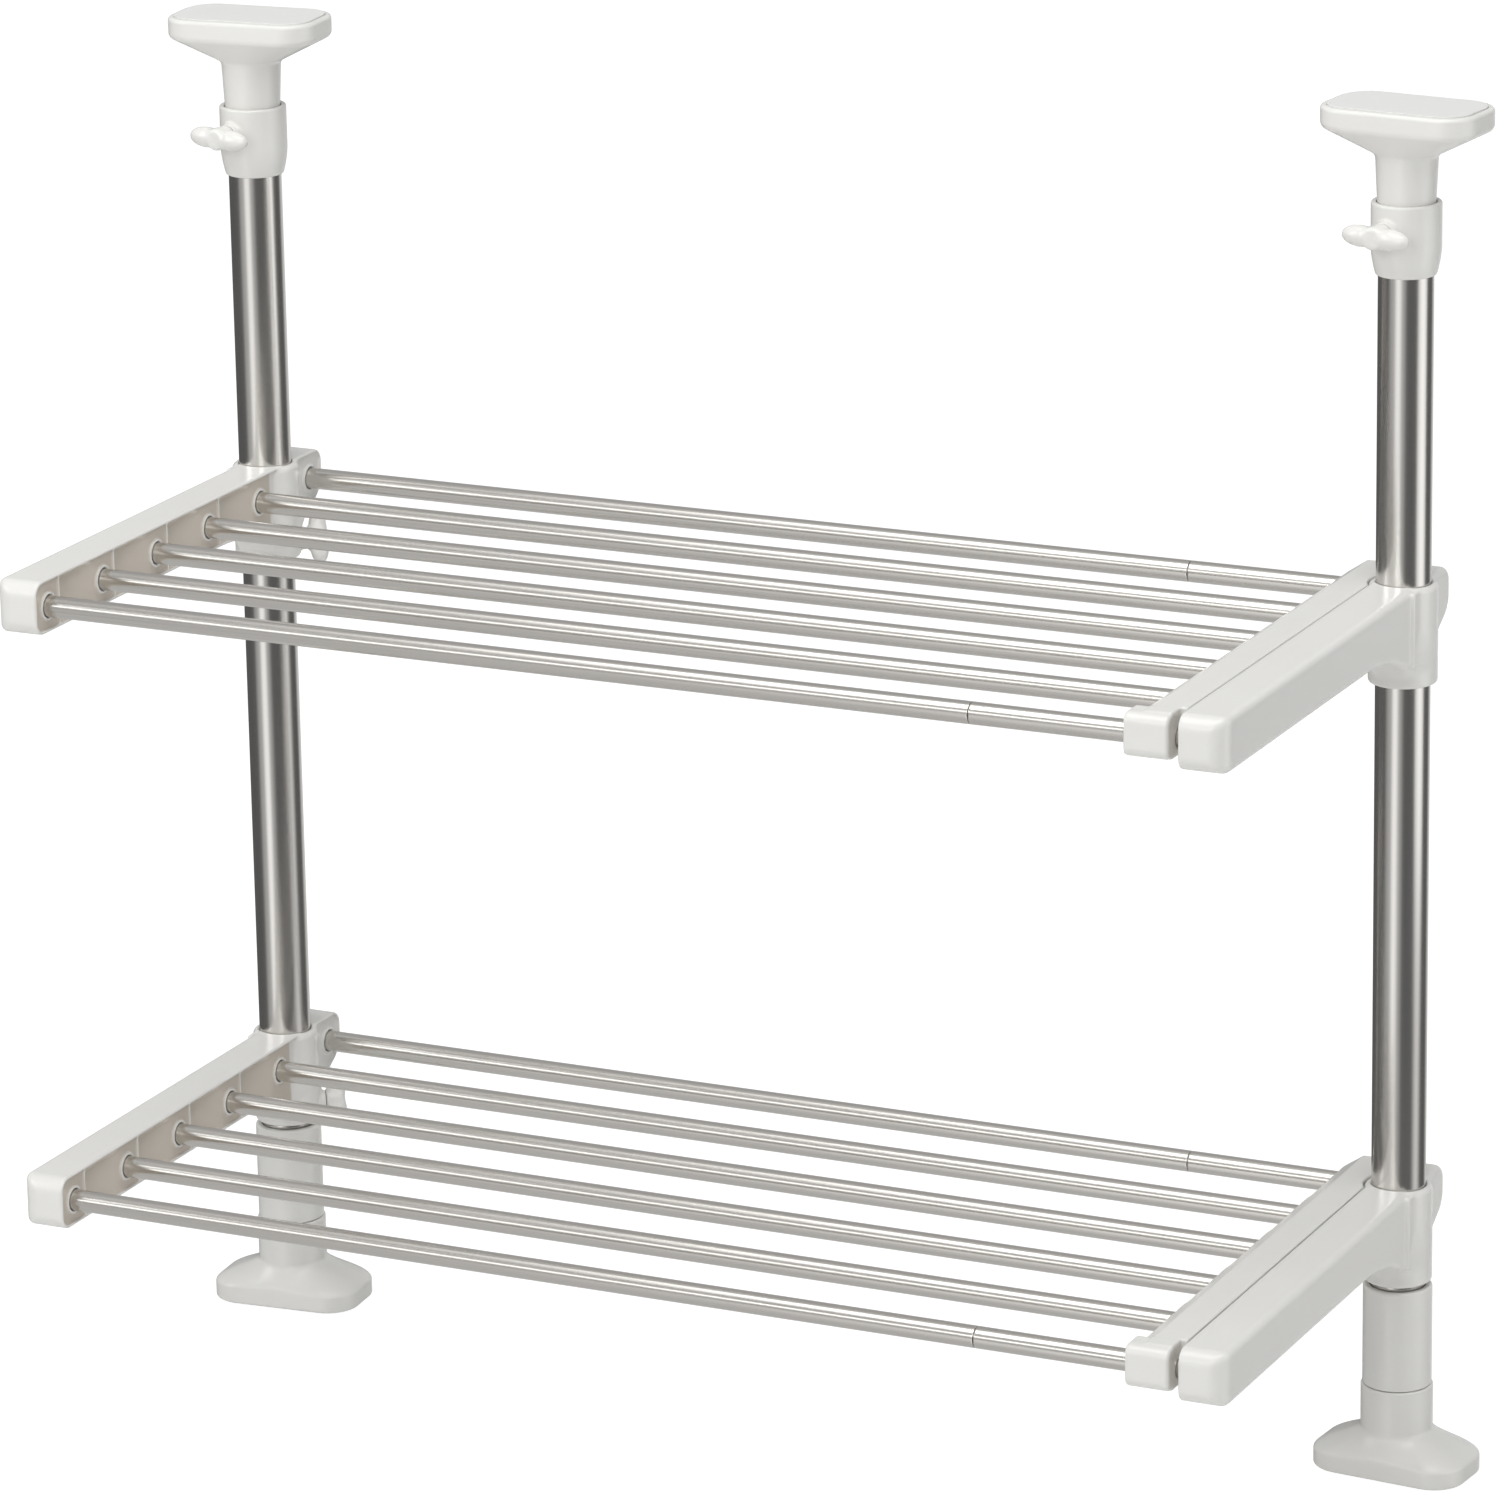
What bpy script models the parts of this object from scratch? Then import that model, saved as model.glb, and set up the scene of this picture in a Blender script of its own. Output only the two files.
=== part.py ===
"""Expandable two-tier kitchen rack, braced between a worktop and a cabinet.

Metres, +Z up.  The origin lies on the worktop, midway between the two posts
and on the plane through their axes.  The shelves reach out to the front, -Y.
Each post stands on a screw adjuster and ends in a pad on a telescopic stem.
Each shelf is two halves: outer tubes with a joiner bar on the left, and inner
rods that slide in them on the right.  Four brackets clamp on the posts.
"""

import math

import bmesh
import bpy
from mathutils import Matrix, Vector

# Clearances
SEAT_GAP = 0.0003
SLIDE_GAP = 0.0003
CUT_OVERRUN = 0.0050

# Overall sizes
POST_SPACING = 0.5806
PAD_TOP_Z = 0.6430
LOWER_ROD_Z = 0.1270
UPPER_ROD_Z = 0.4128

# Posts
POST_RADIUS = 0.0125
POST_WALL = 0.0012

# Rods
ROD_COUNT = 6
TUBE_RADIUS = 0.0050
TUBE_WALL = 0.0007
INNER_ROD_WALL = 0.0006
INNER_ROD_LENGTH = 0.4500
LOCK_SEAM_INBOARD = 0.1120

# Bracket, measured from the post axis and the rod height
ARM_INBOARD = 0.0120
ARM_OUTBOARD = 0.0100
ARM_FRONT_REACH = 0.2380
ARM_REAR_REACH = 0.0340
ARM_TOP = 0.0130
ARM_BOTTOM = -0.0120
ARM_CORNER_RADIUS = 0.0064
ARM_EDGE_RADIUS = 0.0034
FRONT_ROD_INSET = 0.0125
REAR_ROD_INSET = 0.0110
REAR_ROD_Y = ARM_REAR_REACH - REAR_ROD_INSET
ROD_PITCH = (ARM_FRONT_REACH - FRONT_ROD_INSET + REAR_ROD_Y) / (ROD_COUNT - 1)
SOCKET_DEPTH = 0.0120
SOCKET_WALL = 0.0027
SOCKET_BOSS_RADIUS = TUBE_RADIUS + SEAT_GAP + SOCKET_WALL
SOCKET_BOSS_PROUD = 0.0005
PANEL_DEPTH = 0.0040
PANEL_TOP_FLANGE = 0.0032
PANEL_BOTTOM_FLANGE = 0.0022
PANEL_RIB_OFFSET = 0.0110
PANEL_RIB_WIDTH = 0.0015
PANEL_RIB_DEPTH = 0.0020
PANEL_FLOOR_LENGTH = 0.0060
CORE_WALL = 0.0026
CORE_ROOF = 0.0040
CORE_RIB_HALF = 0.0088

# Clamp ring of a bracket
RING_WALL = 0.0029
RING_RADIUS = POST_RADIUS + SLIDE_GAP + RING_WALL
RING_BOTTOM = -0.0338
RING_TOP_STEP = 0.0004
RING_CHAMFER = 0.0028
RING_INSET = 0.0017
GUSSET_START = 0.0660
GUSSET_END = RING_RADIUS - RING_INSET
GUSSET_DROP = 0.0130
GUSSET_POWER = 2.2
GUSSET_STEPS = 5
LUG_TIP = -0.0070
LUG_ROOT = -0.0190
LUG_INBOARD = 0.0075
CLAMP_SCREW_ANGLE = math.radians(35.0)
CLAMP_SCREW_DROP = -0.0266
CLAMP_BOSS_RADIUS = 0.0052
CLAMP_BOSS_PROUD = 0.0028
CLAMP_BOSS_REACH = RING_RADIUS + CLAMP_BOSS_PROUD
CLAMP_SHANK_RADIUS = 0.0020

# Joiner bar, measured inward from the right post axis
BAR_ARM_GAP = 0.0028
BAR_RIGHT_FACE = ARM_INBOARD + BAR_ARM_GAP
BAR_WIDTH = 0.0237
BAR_LEFT_FACE = BAR_RIGHT_FACE + BAR_WIDTH
BAR_TOP_WIDTH = 0.0137
BAR_TOP_LEFT = BAR_RIGHT_FACE + BAR_TOP_WIDTH
BAR_SHOULDER = 0.0020
BAR_TOP_STEP = 0.0010
BAR_TOP = ARM_TOP - BAR_TOP_STEP
BAR_SLOPE_DROP = 0.0070
BAR_BOTTOM = -0.0080
BAR_FRONT_STEP = 0.0050
BAR_REAR_STEP = 0.0030
BAR_END_WALL = 0.0058
BAR_BLOCK_LENGTH = 0.0150
BAR_BLOCK_INSET = 0.0015
BAR_SCALLOP_DEPTH = 0.0014
BAR_SCALLOP_RAMP = 0.0050
BAR_RING_GAP = 0.0006

# Stem and pad
STEM_RADIUS = POST_RADIUS - POST_WALL - SLIDE_GAP
STEM_WALL = 0.0010
STEM_LENGTH = 0.3400
PAD_LENGTH = 0.0750
PAD_WIDTH = 0.0450
PAD_CORNER_RADIUS = 0.0120
PAD_BAND = 0.0105
PAD_BEVEL = 0.0016
PAD_FLARE = 0.0135
PAD_FLARE_POWER = 1.15
PAD_NECK_WALL = 0.0017
PAD_NECK_RADIUS = STEM_RADIUS + SEAT_GAP + PAD_NECK_WALL
PAD_NECK_LENGTH = 0.0188
PAD_NECK_SEAT = 0.0060
PAD_TURN = math.radians(5.0)

# Rubber or foam soles
SOLE_THICKNESS = 0.0016
SOLE_MARGIN = 0.0030
SOLE_PROUD = 0.0006

# Collar on the post's top, under the pad's neck
COLLAR_TOP_Z = PAD_TOP_Z - SOLE_PROUD - PAD_BAND - PAD_FLARE - PAD_NECK_LENGTH
COLLAR_LENGTH = 0.0333
COLLAR_BOTTOM_Z = COLLAR_TOP_Z - COLLAR_LENGTH
COLLAR_CAP = 0.0086
POST_TOP_Z = COLLAR_TOP_Z - COLLAR_CAP
COLLAR_WALL = 0.0030
COLLAR_RADIUS = POST_RADIUS + SEAT_GAP + COLLAR_WALL
COLLAR_FOOT_WALL = 0.0008
COLLAR_TAPER = 0.0055
COLLAR_MOUTH_GAP = 0.0005
COLLAR_SCREW_BELOW_TOP = 0.0126
COLLAR_SCREW_Z = COLLAR_TOP_Z - COLLAR_SCREW_BELOW_TOP
COLLAR_SCREW_ANGLE = math.radians(-104.0)
COLLAR_BOSS_RADIUS = 0.0060
COLLAR_BOSS_PROUD = 0.0022
COLLAR_BOSS_REACH = COLLAR_RADIUS + COLLAR_BOSS_PROUD
COLLAR_SHANK_RADIUS = 0.0024

# Wing screws: hub, and wings measured from the hub's foot
WING_HUB_RADIUS = 0.0052
WING_HUB_LENGTH = 0.0090
WING_HUB_EDGE = 0.0010
WING_MIDDLE = 0.0050
WING_ROOT_OFFSET = 0.0021
WING_ROOT_HALF = 0.0030
WING_THICKNESS = 0.0062
WING_BEVEL = 0.0019
WING_LOBE_RADIUS = 0.0062
WING_LOBE_DEPTH = 0.0045
WING_LOBE_STEPS = 5
COLLAR_WING_SPAN = 0.0175
CLAMP_WING_SPAN = 0.0130
CLAMP_SCREW_ROLL = math.radians(55.0)

# Adjuster sleeve and thread plug
SLEEVE_WALL = 0.0032
SLEEVE_RADIUS = POST_RADIUS + SLIDE_GAP + SLEEVE_WALL
SLEEVE_LENGTH = 0.0482
SLEEVE_FLANGE = 0.0075
SLEEVE_EDGE = 0.0010
PLUG_THREAD_LENGTH = 0.0068
PLUG_STUB_LENGTH = 0.0180
PLUG_LIFT = 0.0048

# Foot
FOOT_LENGTH = 0.0750
FOOT_WIDTH = 0.0450
FOOT_CORNER_RADIUS = 0.0120
FOOT_BAND = 0.0107
FOOT_EDGE = 0.0014
FOOT_FLARE = 0.0230
FOOT_FLARE_POWER = 1.6
FOOT_NECK_STEP = 0.0007
FOOT_NECK_RADIUS = SLEEVE_RADIUS + FOOT_NECK_STEP
FOOT_NECK_LENGTH = 0.0088
FOOT_NECK_TOP = FOOT_BAND + FOOT_FLARE + FOOT_NECK_LENGTH
FOOT_TURN = math.radians(4.7)
SPIGOT_RADIUS = 0.0098
SPIGOT_LIP = 0.0009
SPIGOT_LIP_HEIGHT = 0.0022

# Heights that follow from the foot
SLEEVE_BOTTOM_Z = FOOT_NECK_TOP + SEAT_GAP
SLEEVE_TOP_Z = SLEEVE_BOTTOM_Z + SLEEVE_LENGTH
POST_BOTTOM_Z = SLEEVE_BOTTOM_Z + SLEEVE_FLANGE + PLUG_LIFT + PLUG_THREAD_LENGTH + SEAT_GAP

# Facets
ROUND_SIDES = 18
TUBE_SIDES = 10
SMALL_SIDES = 8
CORNER_STEPS = 3
EDGE_STEPS = 2
FLARE_STEPS = 3
PLATE_BEARING_STEP = math.radians(26.0)

COLOURS = {
    "plastic": ((0.80, 0.79, 0.77), 0.35, 0.0),
    "steel_tube": ((0.62, 0.60, 0.57), 0.22, 1.0),
    "steel_rod": ((0.66, 0.64, 0.60), 0.30, 1.0),
    "rubber": ((0.74, 0.74, 0.73), 0.80, 0.0),
}


def clear_scene():
    """Remove every object that the file opens with."""
    for old in list(bpy.data.objects):
        bpy.data.objects.remove(old, do_unlink=True)


def principled(name, finish):
    """Return a new Principled material in one of the named finishes."""
    colour, roughness, metallic = COLOURS[finish]
    material = bpy.data.materials.new(name)
    material.use_nodes = True
    shader = material.node_tree.nodes["Principled BSDF"]
    shader.inputs["Base Color"].default_value = (*colour, 1.0)
    shader.inputs["Roughness"].default_value = roughness
    shader.inputs["Metallic"].default_value = metallic
    return material


def station(name, location):
    """Return an empty that carries the pieces of one place on the rack."""
    empty = bpy.data.objects.new(name, None)
    empty.location = location
    bpy.context.scene.collection.objects.link(empty)
    return empty


def solid(name, geometry, finish=None, parent=None, location=(0.0, 0.0, 0.0), turn=None):
    """Make one object from vertices and faces, with its faces turned outward.

    Without a finish it is a cutter or a body to be united, which is not drawn.
    """
    vertices, faces = geometry
    mesh = bpy.data.meshes.new(name)
    form = bmesh.new()
    corners = [form.verts.new(vertex) for vertex in vertices]
    for face in faces:
        form.faces.new([corners[index] for index in face])
    bmesh.ops.recalc_face_normals(form, faces=form.faces)
    form.to_mesh(mesh)
    form.free()
    made = bpy.data.objects.new(name, mesh)
    bpy.context.scene.collection.objects.link(made)
    made.parent = parent
    made.location = location
    if turn is not None:
        made.rotation_euler = turn
    if finish is None:
        made.hide_render = True
        made.display_type = "WIRE"
    else:
        mesh.materials.append(principled(name + "_finish", finish))
        mesh.shade_smooth()
        mesh.set_sharp_from_angle(angle=math.radians(35.0))
    return made


def combine(target, tool, operation):
    """Unite a body with the target, or cut it out of the target."""
    modifier = target.modifiers.new(tool.name, "BOOLEAN")
    modifier.operation = operation
    modifier.object = tool


def loft(sections):
    """Return a closed body through rings of equally many points."""
    count = len(sections[0])
    vertices = [point for ring in sections for point in ring]
    faces = []
    for level in range(len(sections) - 1):
        for index in range(count):
            after = (index + 1) % count
            low = level * count
            high = low + count
            faces.append((low + index, low + after, high + after, high + index))
    faces.append(tuple(range(count)))
    top = (len(sections) - 1) * count
    faces.append(tuple(range(top, top + count)))
    return vertices, faces


def circle(radius, height, sides=ROUND_SIDES):
    """Return the points of a level circle round the Z axis."""
    turn = 2.0 * math.pi / sides
    return [
        (radius * math.cos(turn * step), radius * math.sin(turn * step), height)
        for step in range(sides)
    ]


def turned(profile, sides=ROUND_SIDES):
    """Return a solid of revolution round Z through (radius, height) points."""
    return loft([circle(radius, height, sides) for radius, height in profile])


def turned_hollow(profile, sides=ROUND_SIDES):
    """Return a pierced solid of revolution from a closed (radius, height) loop."""
    vertices = [point for radius, height in profile for point in circle(radius, height, sides)]
    count = len(profile)
    faces = []
    for level in range(count):
        for index in range(sides):
            after = (index + 1) % sides
            low = level * sides
            high = ((level + 1) % count) * sides
            faces.append((low + index, low + after, high + after, high + index))
    return vertices, faces


def tube(outer, inner, start, end, sides=TUBE_SIDES):
    """Return a plain tube round Z."""
    return turned_hollow([(outer, start), (outer, end), (inner, end), (inner, start)], sides)


def rounded_rectangle(low, high, radius, height, inset=0.0, steps=CORNER_STEPS):
    """Return a level rounded rectangle from its two corners, drawn in by inset."""
    bend = max(radius - inset, radius * 0.2)
    left, front = low[0] + inset + bend, low[1] + inset + bend
    right, back = high[0] - inset - bend, high[1] - inset - bend
    centres = ((right, back), (left, back), (left, front), (right, front))
    points = []
    for quarter, centre in enumerate(centres):
        for step in range(steps + 1):
            angle = 0.5 * math.pi * (quarter + step / steps)
            points.append(
                (centre[0] + bend * math.cos(angle), centre[1] + bend * math.sin(angle), height)
            )
    return points


def plate_bearings(length, width, corner):
    """Return bearings round a plate: its corners' points, and more along its sides."""
    ring = centred_rectangle(length, width, corner, 0.0)
    corners = [math.atan2(point[1], point[0]) for point in ring]
    bearings = []
    for here, after in zip(corners, corners[1:] + corners[:1]):
        gap = (after - here) % (2.0 * math.pi)
        parts = math.ceil(gap / PLATE_BEARING_STEP)
        bearings.extend(here + gap * part / parts for part in range(parts))
    return bearings


def plate_reach(bearing, half_length, half_width, corner):
    """Return how far a rounded rectangle reaches along a bearing from its middle."""
    along, across = abs(math.cos(bearing)), abs(math.sin(bearing))
    core_x, core_y = half_length - corner, half_width - corner
    if across * half_length <= core_y * along:
        return half_length / along
    if along * half_width <= core_x * across:
        return half_width / across
    ahead = core_x * along + core_y * across
    return ahead + math.sqrt(ahead ** 2 - core_x ** 2 - core_y ** 2 + corner ** 2)


def plate_ring(size, height, inset=0.0, share=0.0, radius=0.0):
    """Return a ring of a (length, width, corner) plate, blended to a circle by a share."""
    length, width, corner = size
    points = []
    for bearing in plate_bearings(length, width, corner):
        plate = plate_reach(bearing, 0.5 * length - inset, 0.5 * width - inset, corner - inset)
        reach = plate + (radius - plate) * share
        points.append((reach * math.cos(bearing), reach * math.sin(bearing), height))
    return points


def flare_levels(start, end, power):
    """Return (height, share) levels of a flare that blends a plate into its round neck."""
    levels = []
    for step in range(FLARE_STEPS + 1):
        part = step / FLARE_STEPS
        levels.append((start + (end - start) * part, 1.0 - (1.0 - part) ** power))
    return levels


def rounded_levels(bottom, top, radius):
    """Return (height, inset) levels that round the lower and upper rims of a body."""
    angles = [0.5 * math.pi * step / EDGE_STEPS for step in range(EDGE_STEPS + 1)]
    lower = [
        (bottom + radius * (1.0 - math.cos(angle)), radius * (1.0 - math.sin(angle)))
        for angle in angles
    ]
    upper = [(bottom + top - height, inset) for height, inset in reversed(lower)]
    return lower + upper


def prism(outline, start, end, place):
    """Return a prism of a flat outline; place turns (u, v, w) into a point."""
    return loft([[place(u, v, w) for u, v in outline] for w in (start, end)])


def transformed(geometry, matrix):
    """Return a body's vertices moved by a matrix, with its faces as they are."""
    vertices, faces = geometry
    return [tuple(matrix @ Vector(vertex)) for vertex in vertices], faces


def joined(bodies):
    """Return separate bodies as the geometry of one object."""
    vertices = []
    faces = []
    for body_vertices, body_faces in bodies:
        offset = len(vertices)
        vertices.extend(body_vertices)
        faces.extend(tuple(index + offset for index in face) for face in body_faces)
    return vertices, faces


def outward(angle, height):
    """Return the matrix that lays the Z axis level along a bearing."""
    return (
        Matrix.Translation((0.0, 0.0, height))
        @ Matrix.Rotation(angle, 4, "Z")
        @ Matrix.Rotation(0.5 * math.pi, 4, "Y")
    )


def rod_offsets():
    """Return the rods' distances behind the post axis, rear rod first."""
    return [REAR_ROD_Y - index * ROD_PITCH for index in range(ROD_COUNT)]


def bracket_arm(side):
    """Return the bracket's straight arm with rounded ends and edges."""
    inner, outer = side * ARM_INBOARD, -side * ARM_OUTBOARD
    low = (min(inner, outer), -ARM_FRONT_REACH)
    high = (max(inner, outer), ARM_REAR_REACH)
    return loft(
        [
            rounded_rectangle(low, high, ARM_CORNER_RADIUS, height, inset)
            for height, inset in rounded_levels(ARM_BOTTOM, ARM_TOP, ARM_EDGE_RADIUS)
        ]
    )


def bracket_gusset(side):
    """Return the web that deepens the arm toward the ring, with its curved foot."""
    outline = [(-GUSSET_END, 0.0), (-GUSSET_START, 0.0)]
    for step in range(GUSSET_STEPS + 1):
        share = step / GUSSET_STEPS
        reach = GUSSET_START + (GUSSET_END - GUSSET_START) * share
        outline.append((-reach, ARM_BOTTOM - GUSSET_DROP * share ** GUSSET_POWER))
    inner = side * (ARM_INBOARD - SEAT_GAP)
    outer = -side * (ARM_OUTBOARD - SEAT_GAP)
    return prism(outline, inner, outer, lambda u, v, w: (w, u, v))


def bracket_lug(side):
    """Return the web under the short end behind the post, before its slope is cut."""
    reach = ARM_REAR_REACH - ARM_CORNER_RADIUS
    outline = [(0.0, 0.0), (0.0, LUG_ROOT), (reach, LUG_ROOT), (reach, 0.0)]
    inner = side * LUG_INBOARD
    outer = -side * (ARM_OUTBOARD - SEAT_GAP)
    return prism(outline, inner, outer, lambda u, v, w: (w, u, v))


def lug_slope_cutter(side):
    """Return the cutter that slopes the lug's underside from its tip down to its root."""
    slope = (LUG_TIP - LUG_ROOT) / (ARM_REAR_REACH - GUSSET_END)
    outline = [
        (GUSSET_END - CUT_OVERRUN, LUG_ROOT - CUT_OVERRUN * slope),
        (ARM_REAR_REACH + CUT_OVERRUN, LUG_TIP + CUT_OVERRUN * slope),
        (ARM_REAR_REACH + CUT_OVERRUN, LUG_ROOT - CUT_OVERRUN),
        (GUSSET_END - CUT_OVERRUN, LUG_ROOT - CUT_OVERRUN),
    ]
    inner = side * (ARM_INBOARD + CUT_OVERRUN)
    outer = -side * (ARM_OUTBOARD + CUT_OVERRUN)
    return prism(outline, inner, outer, lambda u, v, w: (w, u, v))


def bracket_ring():
    """Return the round body of the clamp ring, not yet bored."""
    top = ARM_TOP - RING_TOP_STEP
    return turned(
        [
            (RING_RADIUS - RING_CHAMFER, RING_BOTTOM),
            (RING_RADIUS, RING_BOTTOM + RING_CHAMFER),
            (RING_RADIUS, top - SEAT_GAP),
            (RING_RADIUS - SEAT_GAP, top),
        ]
    )


def socket_boss(side, rod_y):
    """Return the round boss that frames one socket on the arm's inner face."""
    start = ARM_INBOARD - PANEL_DEPTH - SOCKET_BOSS_PROUD
    end = ARM_INBOARD + SOCKET_BOSS_PROUD
    boss = turned([(SOCKET_BOSS_RADIUS, start), (SOCKET_BOSS_RADIUS, end)], TUBE_SIDES)
    matrix = Matrix.Translation((0.0, rod_y, 0.0)) @ Matrix.Rotation(side * 0.5 * math.pi, 4, "Y")
    return transformed(boss, matrix)


def socket_bore(side, rod_y, radius, depth):
    """Return the cutter of one socket in the arm's inner face."""
    start = ARM_INBOARD - depth
    end = ARM_INBOARD + depth
    bore = turned([(radius, start), (radius, end)], TUBE_SIDES)
    matrix = Matrix.Translation((0.0, rod_y, 0.0)) @ Matrix.Rotation(side * 0.5 * math.pi, 4, "Y")
    return transformed(bore, matrix)


def panel_cutter(side, rod_y):
    """Return the cutter of the recessed panel behind one socket, with its rib."""
    start = rod_y + SOCKET_BOSS_RADIUS + SEAT_GAP
    rib = rod_y + PANEL_RIB_OFFSET
    end = rod_y + ROD_PITCH - SOCKET_BOSS_RADIUS - SEAT_GAP
    face = ARM_INBOARD
    floor = face - PANEL_DEPTH
    crest = floor + PANEL_RIB_DEPTH
    outline = [
        (face + PANEL_DEPTH, start),
        (floor, start),
        (floor, rib),
        (crest, rib),
        (crest, rib + PANEL_RIB_WIDTH),
        (floor, rib + PANEL_RIB_WIDTH),
        (floor, rib + PANEL_RIB_WIDTH + PANEL_FLOOR_LENGTH),
        (face, end),
        (face + PANEL_DEPTH, end),
    ]
    bottom = ARM_BOTTOM + PANEL_BOTTOM_FLANGE
    top = ARM_TOP - PANEL_TOP_FLANGE
    return prism(outline, bottom, top, lambda u, v, w: (side * u, v, w))


def core_cutter(side, rod_y):
    """Return the cutter that cores the arm from below between two sockets."""
    inner = side * (ARM_INBOARD - PANEL_DEPTH - CORE_WALL)
    outer = -side * (ARM_OUTBOARD - CORE_WALL)
    outline = [
        (inner, rod_y + CORE_RIB_HALF),
        (outer, rod_y + CORE_RIB_HALF),
        (outer, rod_y + ROD_PITCH - CORE_RIB_HALF),
        (inner, rod_y + ROD_PITCH - CORE_RIB_HALF),
    ]
    bottom = ARM_BOTTOM - GUSSET_DROP - CUT_OVERRUN
    return prism(outline, bottom, ARM_TOP - CORE_ROOF, lambda u, v, w: (u, v, w))


def outer_step_cutter(side):
    """Return the cutter that lets the ring's round show on the arm's outer face."""
    depth = math.sqrt(RING_RADIUS ** 2 - GUSSET_END ** 2)
    outline = [
        (-side * depth, -GUSSET_END),
        (-side * (ARM_OUTBOARD + CUT_OVERRUN), -GUSSET_END),
        (-side * (ARM_OUTBOARD + CUT_OVERRUN), GUSSET_END),
        (-side * depth, GUSSET_END),
    ]
    bottom = ARM_BOTTOM - GUSSET_DROP - CUT_OVERRUN
    return prism(outline, bottom, ARM_TOP - ARM_EDGE_RADIUS, lambda u, v, w: (u, v, w))


def make_bracket(tier, hand, parent):
    """Make one bracket: arm, ring, sockets, panels, cores and screw boss."""
    side = 1.0 if hand == "left" else -1.0
    name = f"{tier}_{hand}_bracket"
    bracket = solid(name, bracket_arm(side), "plastic", parent)
    rods = rod_offsets()
    inboard = 0.0 if side > 0.0 else math.pi
    screw = outward(inboard + side * CLAMP_SCREW_ANGLE, CLAMP_SCREW_DROP)

    def tool(label, geometry):
        return solid(f"{name}_{label}", geometry, parent=parent)

    combine(bracket, tool("gusset", bracket_gusset(side)), "UNION")
    combine(bracket, tool("lug", bracket_lug(side)), "UNION")
    combine(bracket, tool("lug_slope", lug_slope_cutter(side)), "DIFFERENCE")
    cores = joined([core_cutter(side, rod_y) for rod_y in rods[2:]])
    combine(bracket, tool("cores", cores), "DIFFERENCE")
    combine(bracket, tool("step", outer_step_cutter(side)), "DIFFERENCE")
    combine(bracket, tool("ring", bracket_ring()), "UNION")
    panels = joined([panel_cutter(side, rod_y) for rod_y in rods[2:]])
    combine(bracket, tool("panels", panels), "DIFFERENCE")
    bosses = joined([socket_boss(side, rod_y) for rod_y in rods])
    combine(bracket, tool("bosses", bosses), "UNION")
    boss = turned([(CLAMP_BOSS_RADIUS, POST_RADIUS), (CLAMP_BOSS_RADIUS, CLAMP_BOSS_REACH)], TUBE_SIDES)
    combine(bracket, tool("screw_boss", transformed(boss, screw)), "UNION")
    radius = TUBE_RADIUS + SEAT_GAP if side > 0.0 else inner_rod_radius() + SEAT_GAP
    bores = joined([socket_bore(side, rod_y, radius, SOCKET_DEPTH) for rod_y in rods])
    combine(bracket, tool("sockets", bores), "DIFFERENCE")
    post_bore = POST_RADIUS + SLIDE_GAP
    bore = turned([(post_bore, RING_BOTTOM - CUT_OVERRUN), (post_bore, ARM_TOP + CUT_OVERRUN)])
    combine(bracket, tool("bore", bore), "DIFFERENCE")
    hole_radius = CLAMP_SHANK_RADIUS + SEAT_GAP
    hole_end = CLAMP_BOSS_REACH + CUT_OVERRUN
    hole = turned([(hole_radius, 0.0), (hole_radius, hole_end)], SMALL_SIDES)
    combine(bracket, tool("screw_hole", transformed(hole, screw)), "DIFFERENCE")


def inner_rod_radius():
    """Return the radius of the rods that slide in the outer tubes."""
    return TUBE_RADIUS - TUBE_WALL - SLIDE_GAP


def lengthwise(start, rod_y):
    """Return the matrix that lays the Z axis along +X from a rod's start."""
    return Matrix.Translation((start, rod_y, 0.0)) @ Matrix.Rotation(0.5 * math.pi, 4, "Y")


def socket_floor():
    """Return the distance from a post axis to the floor of its sockets."""
    return ARM_INBOARD - SOCKET_DEPTH


def make_rods(tier, shelf):
    """Make a shelf's outer tubes, its lock sleeves and its inner rods."""
    half = 0.5 * POST_SPACING
    left = -half + socket_floor() + SEAT_GAP
    right = half - socket_floor() - SEAT_GAP
    bar_end = half - BAR_RIGHT_FACE - BAR_END_WALL - SEAT_GAP
    seam = half - LOCK_SEAM_INBOARD
    bore = TUBE_RADIUS - TUBE_WALL
    rod = inner_rod_radius()
    for index, rod_y in enumerate(rod_offsets()):
        at_edge = index in (0, ROD_COUNT - 1)
        tube_end = seam - 0.5 * SEAT_GAP if at_edge else bar_end
        outer = tube(TUBE_RADIUS, bore, 0.0, tube_end - left)
        label = index + 1
        laid = transformed(outer, lengthwise(left, rod_y))
        solid(f"{tier}_outer_tube_{label}", laid, "steel_rod", shelf)
        inner = tube(rod, rod - INNER_ROD_WALL, 0.0, INNER_ROD_LENGTH)
        laid = transformed(inner, lengthwise(right - INNER_ROD_LENGTH, rod_y))
        solid(f"{tier}_inner_rod_{label}", laid, "steel_rod", shelf)
        if at_edge:
            place = "rear" if index == 0 else "front"
            lock_start = seam + 0.5 * SEAT_GAP
            lock = transformed(
                tube(TUBE_RADIUS, bore, 0.0, bar_end - lock_start),
                Matrix.Rotation(0.5 * math.pi, 4, "Y"),
            )
            at = (lock_start, rod_y, 0.0)
            solid(f"{tier}_lock_sleeve_{place}", lock, "steel_rod", shelf, at)


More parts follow.
